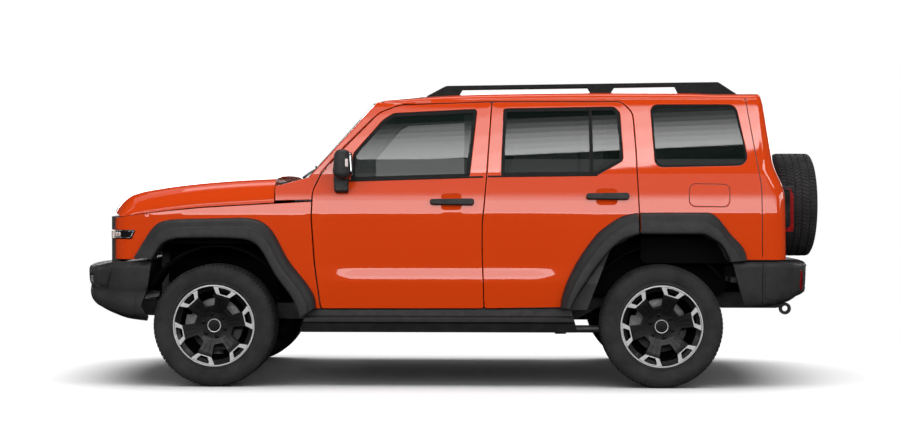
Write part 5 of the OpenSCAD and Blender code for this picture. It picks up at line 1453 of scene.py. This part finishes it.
# Soft boxes: name, place, target, width, height, radiance, roll in degrees
SOFT_BOXES = [
    ("overhead", (0, 0, 8.6), (0, 0, 0), 8.0, 3.0, 3.0, 0),
    ("floor_light", (0.2, 0.4, 9.0), (0.2, 0.4, 0), 16.0, 9.0, 3.6, 0)]
# Strips beside the car: height of the middle, height, radiance, roll in degrees
STRIPS = [
    (1.83, 0.36, 6.8, 0), (2.19, 0.36, 5.6, 0), (2.55, 0.36, 3.9, 0), (2.91, 0.36, 2.4, 0), (3.27, 0.36, 1.4, 0),
    (3.63, 0.36, 0.9, 0), (3.99, 0.36, 0.8, 0),
    (4.50, 0.22, 9.5, 10), (4.72, 0.22, 8.0, 10), (4.94, 0.22, 6.6, 10), (5.16, 0.22, 5.0, 10), (5.38, 0.22, 3.2, 10),
    (5.60, 0.22, 1.6, 10), (5.82, 0.22, 0.7, 10)]
for side, sign in zip(SIDES, (-1, 1)):
    for i, (z, tall, glow, roll) in enumerate(STRIPS):
        SOFT_BOXES.append((f"{side}_strip_{i}", (0.8, sign * 7.4, z), (0.8, 0, z), 16.0, tall, glow, -sign * roll))
for end, sign in (("front", -1), ("rear", 1)):
    SOFT_BOXES += [(f"{end}_strip", (sign * 12.8, 0, 3.2), (0, 0, 3.2), 9.0, 1.8, 5.0, 0)]


def shown_white(owner, lit, plain_sight):
    """Mix of a lit shader and plain white: white to the camera, and to rays from metal and through glass."""
    path = add_node(owner, "ShaderNodeLightPath")
    seen = path.outputs["Is Camera Ray"]
    for name in ("Is Glossy Ray", "Is Transmission Ray"):
        either = add_node(owner, "ShaderNodeMath", operation="MAXIMUM")
        link(owner, seen, either.inputs[0])
        link(owner, path.outputs[name], either.inputs[1])
        seen = either.outputs["Value"]
    mix = add_node(owner, "ShaderNodeMixShader")
    link(owner, seen, mix.inputs["Fac"])
    link(owner, lit, mix.inputs[1])
    link(owner, plain_sight, mix.inputs[2])
    return mix.outputs["Shader"]


def add_floor():
    """Pale floor that fades into white surroundings."""
    size = 60.0
    mesh = bpy.data.meshes.new("floor")
    mesh.from_pydata([(-size, -size, 0), (size, -size, 0), (size, size, 0), (-size, size, 0)], [], [(0, 1, 2, 3)])
    floor = bpy.data.objects.new("floor", mesh)
    bpy.context.scene.collection.objects.link(floor)
    m = material("floor", FLOOR_COLOUR, 0.9, Specular_IOR_Level=0.0)
    mesh.materials.append(m)
    place = add_node(m, "ShaderNodeTexCoord")
    across = add_node(m, "ShaderNodeMapping", Scale=(1 / 3.6, 1 / 2.6, 1))
    away = add_node(m, "ShaderNodeVectorMath", operation="LENGTH")
    fade = add_node(m, "ShaderNodeMapRange", interpolation_type="SMOOTHSTEP", From_Min=0.8, From_Max=1.3)
    link(m, place.outputs["Object"], across.inputs["Vector"])
    link(m, across.outputs["Vector"], away.inputs[0])
    link(m, away.outputs["Value"], fade.inputs["Value"])
    white = add_node(m, "ShaderNodeEmission", Color=WHITE, Strength=1.0)
    mix = add_node(m, "ShaderNodeMixShader")
    link(m, fade.outputs["Result"], mix.inputs["Fac"])
    link(m, shader_of(m).outputs["BSDF"], mix.inputs[1])
    link(m, white.outputs["Emission"], mix.inputs[2])
    bounce = add_node(m, "ShaderNodeBsdfDiffuse", Color=(*FLOOR_BOUNCE, 1))
    sight = shown_white(m, bounce.outputs["BSDF"], mix.outputs["Shader"])
    link(m, sight, m.node_tree.nodes["Material Output"].inputs["Surface"])
    return floor


def add_world():
    world = bpy.data.worlds.new("studio")
    bpy.context.scene.world = world
    world.use_nodes = True
    soft = world.node_tree.nodes["Background"]
    soft.inputs["Color"].default_value = WHITE
    soft.inputs["Strength"].default_value = WORLD_LIGHT
    white = add_node(world, "ShaderNodeBackground", Color=WHITE, Strength=1.0)
    sight = shown_white(world, soft.outputs["Background"], white.outputs["Background"])
    link(world, sight, world.node_tree.nodes["World Output"].inputs["Surface"])


def add_stage():
    """Floor, white surroundings, dark cloths and soft boxes. One lamp lights the floor alone and the rest skip it."""
    floor = add_floor()
    add_world()
    add_flags()
    floor_only, not_floor = bpy.data.collections.new("floor_only"), bpy.data.collections.new("not_floor")
    floor_only.objects.link(floor)
    not_floor.objects.link(floor)
    not_floor.collection_objects[0].light_linking.link_state = "EXCLUDE"
    for name, place, target, width, height, glow, roll in SOFT_BOXES:
        light = bpy.data.lights.new(name, "AREA")
        light.shape, light.size, light.size_y = "RECTANGLE", width, height
        light.energy = glow * math.pi * width * height
        lamp = bpy.data.objects.new(name, light)
        lamp.location = place
        aim = (Vector(target) - Vector(place)).to_track_quat("-Z", "Y").to_matrix()
        lamp.rotation_euler = (aim @ Matrix.Rotation(math.radians(roll), 3, "Z")).to_euler()
        lamp.visible_camera = False
        bpy.context.scene.collection.objects.link(lamp)
        lamp.light_linking.receiver_collection = floor_only if name == "floor_light" else not_floor


def add_flags():
    """Dark cloths round the car that only its reflections show: over the floor and up to FLAG_TOP at the sides."""
    x, y, z = FLAG_X, FLAG_Y, FLAG_TOP
    verts = [(a, b, c) for c in (FLAG_LOW, z) for a, b in ((-x, -y), (x, -y), (x, y), (-x, y))]
    mesh = bpy.data.meshes.new("flags")
    verts += [(a * 0.55, b * 0.35, z + 2.4) for a, b, _ in verts[4:8]]
    walls = [(0, 1, 2, 3), (0, 1, 5, 4), (1, 2, 6, 5), (2, 3, 7, 6), (3, 0, 4, 7)]
    mesh.from_pydata(verts, [], walls + [(4, 5, 9, 8), (5, 6, 10, 9), (6, 7, 11, 10), (7, 4, 8, 11)])
    cloth = material("flag_cloth", (0.0005, 0.0005, 0.0005), 1.0, Specular_IOR_Level=0.0)
    mesh.materials.append(vary_rough(cloth, 3, 0.9, 1.0))
    flags = bpy.data.objects.new("flags", mesh)
    bpy.context.scene.collection.objects.link(flags)
    flags.visible_camera = flags.visible_diffuse = flags.visible_transmission = flags.visible_shadow = False
    flags.visible_volume_scatter = False


def main():
    bpy.context.scene.view_settings.view_transform = "Standard"
    add_camera()
    for step in (
            finish_solids, make_side_panels, make_bonnet, make_roof, make_tailgate, make_flares, make_window_bands,
            make_windscreen, make_wheels, make_handles, make_mirrors, make_front_bumper, make_rear_bumper,
            make_shelves, make_rails, make_lamps, make_arch_walls, make_bay, make_panes, make_seats, make_dash,
            add_stage):
        step()


main()
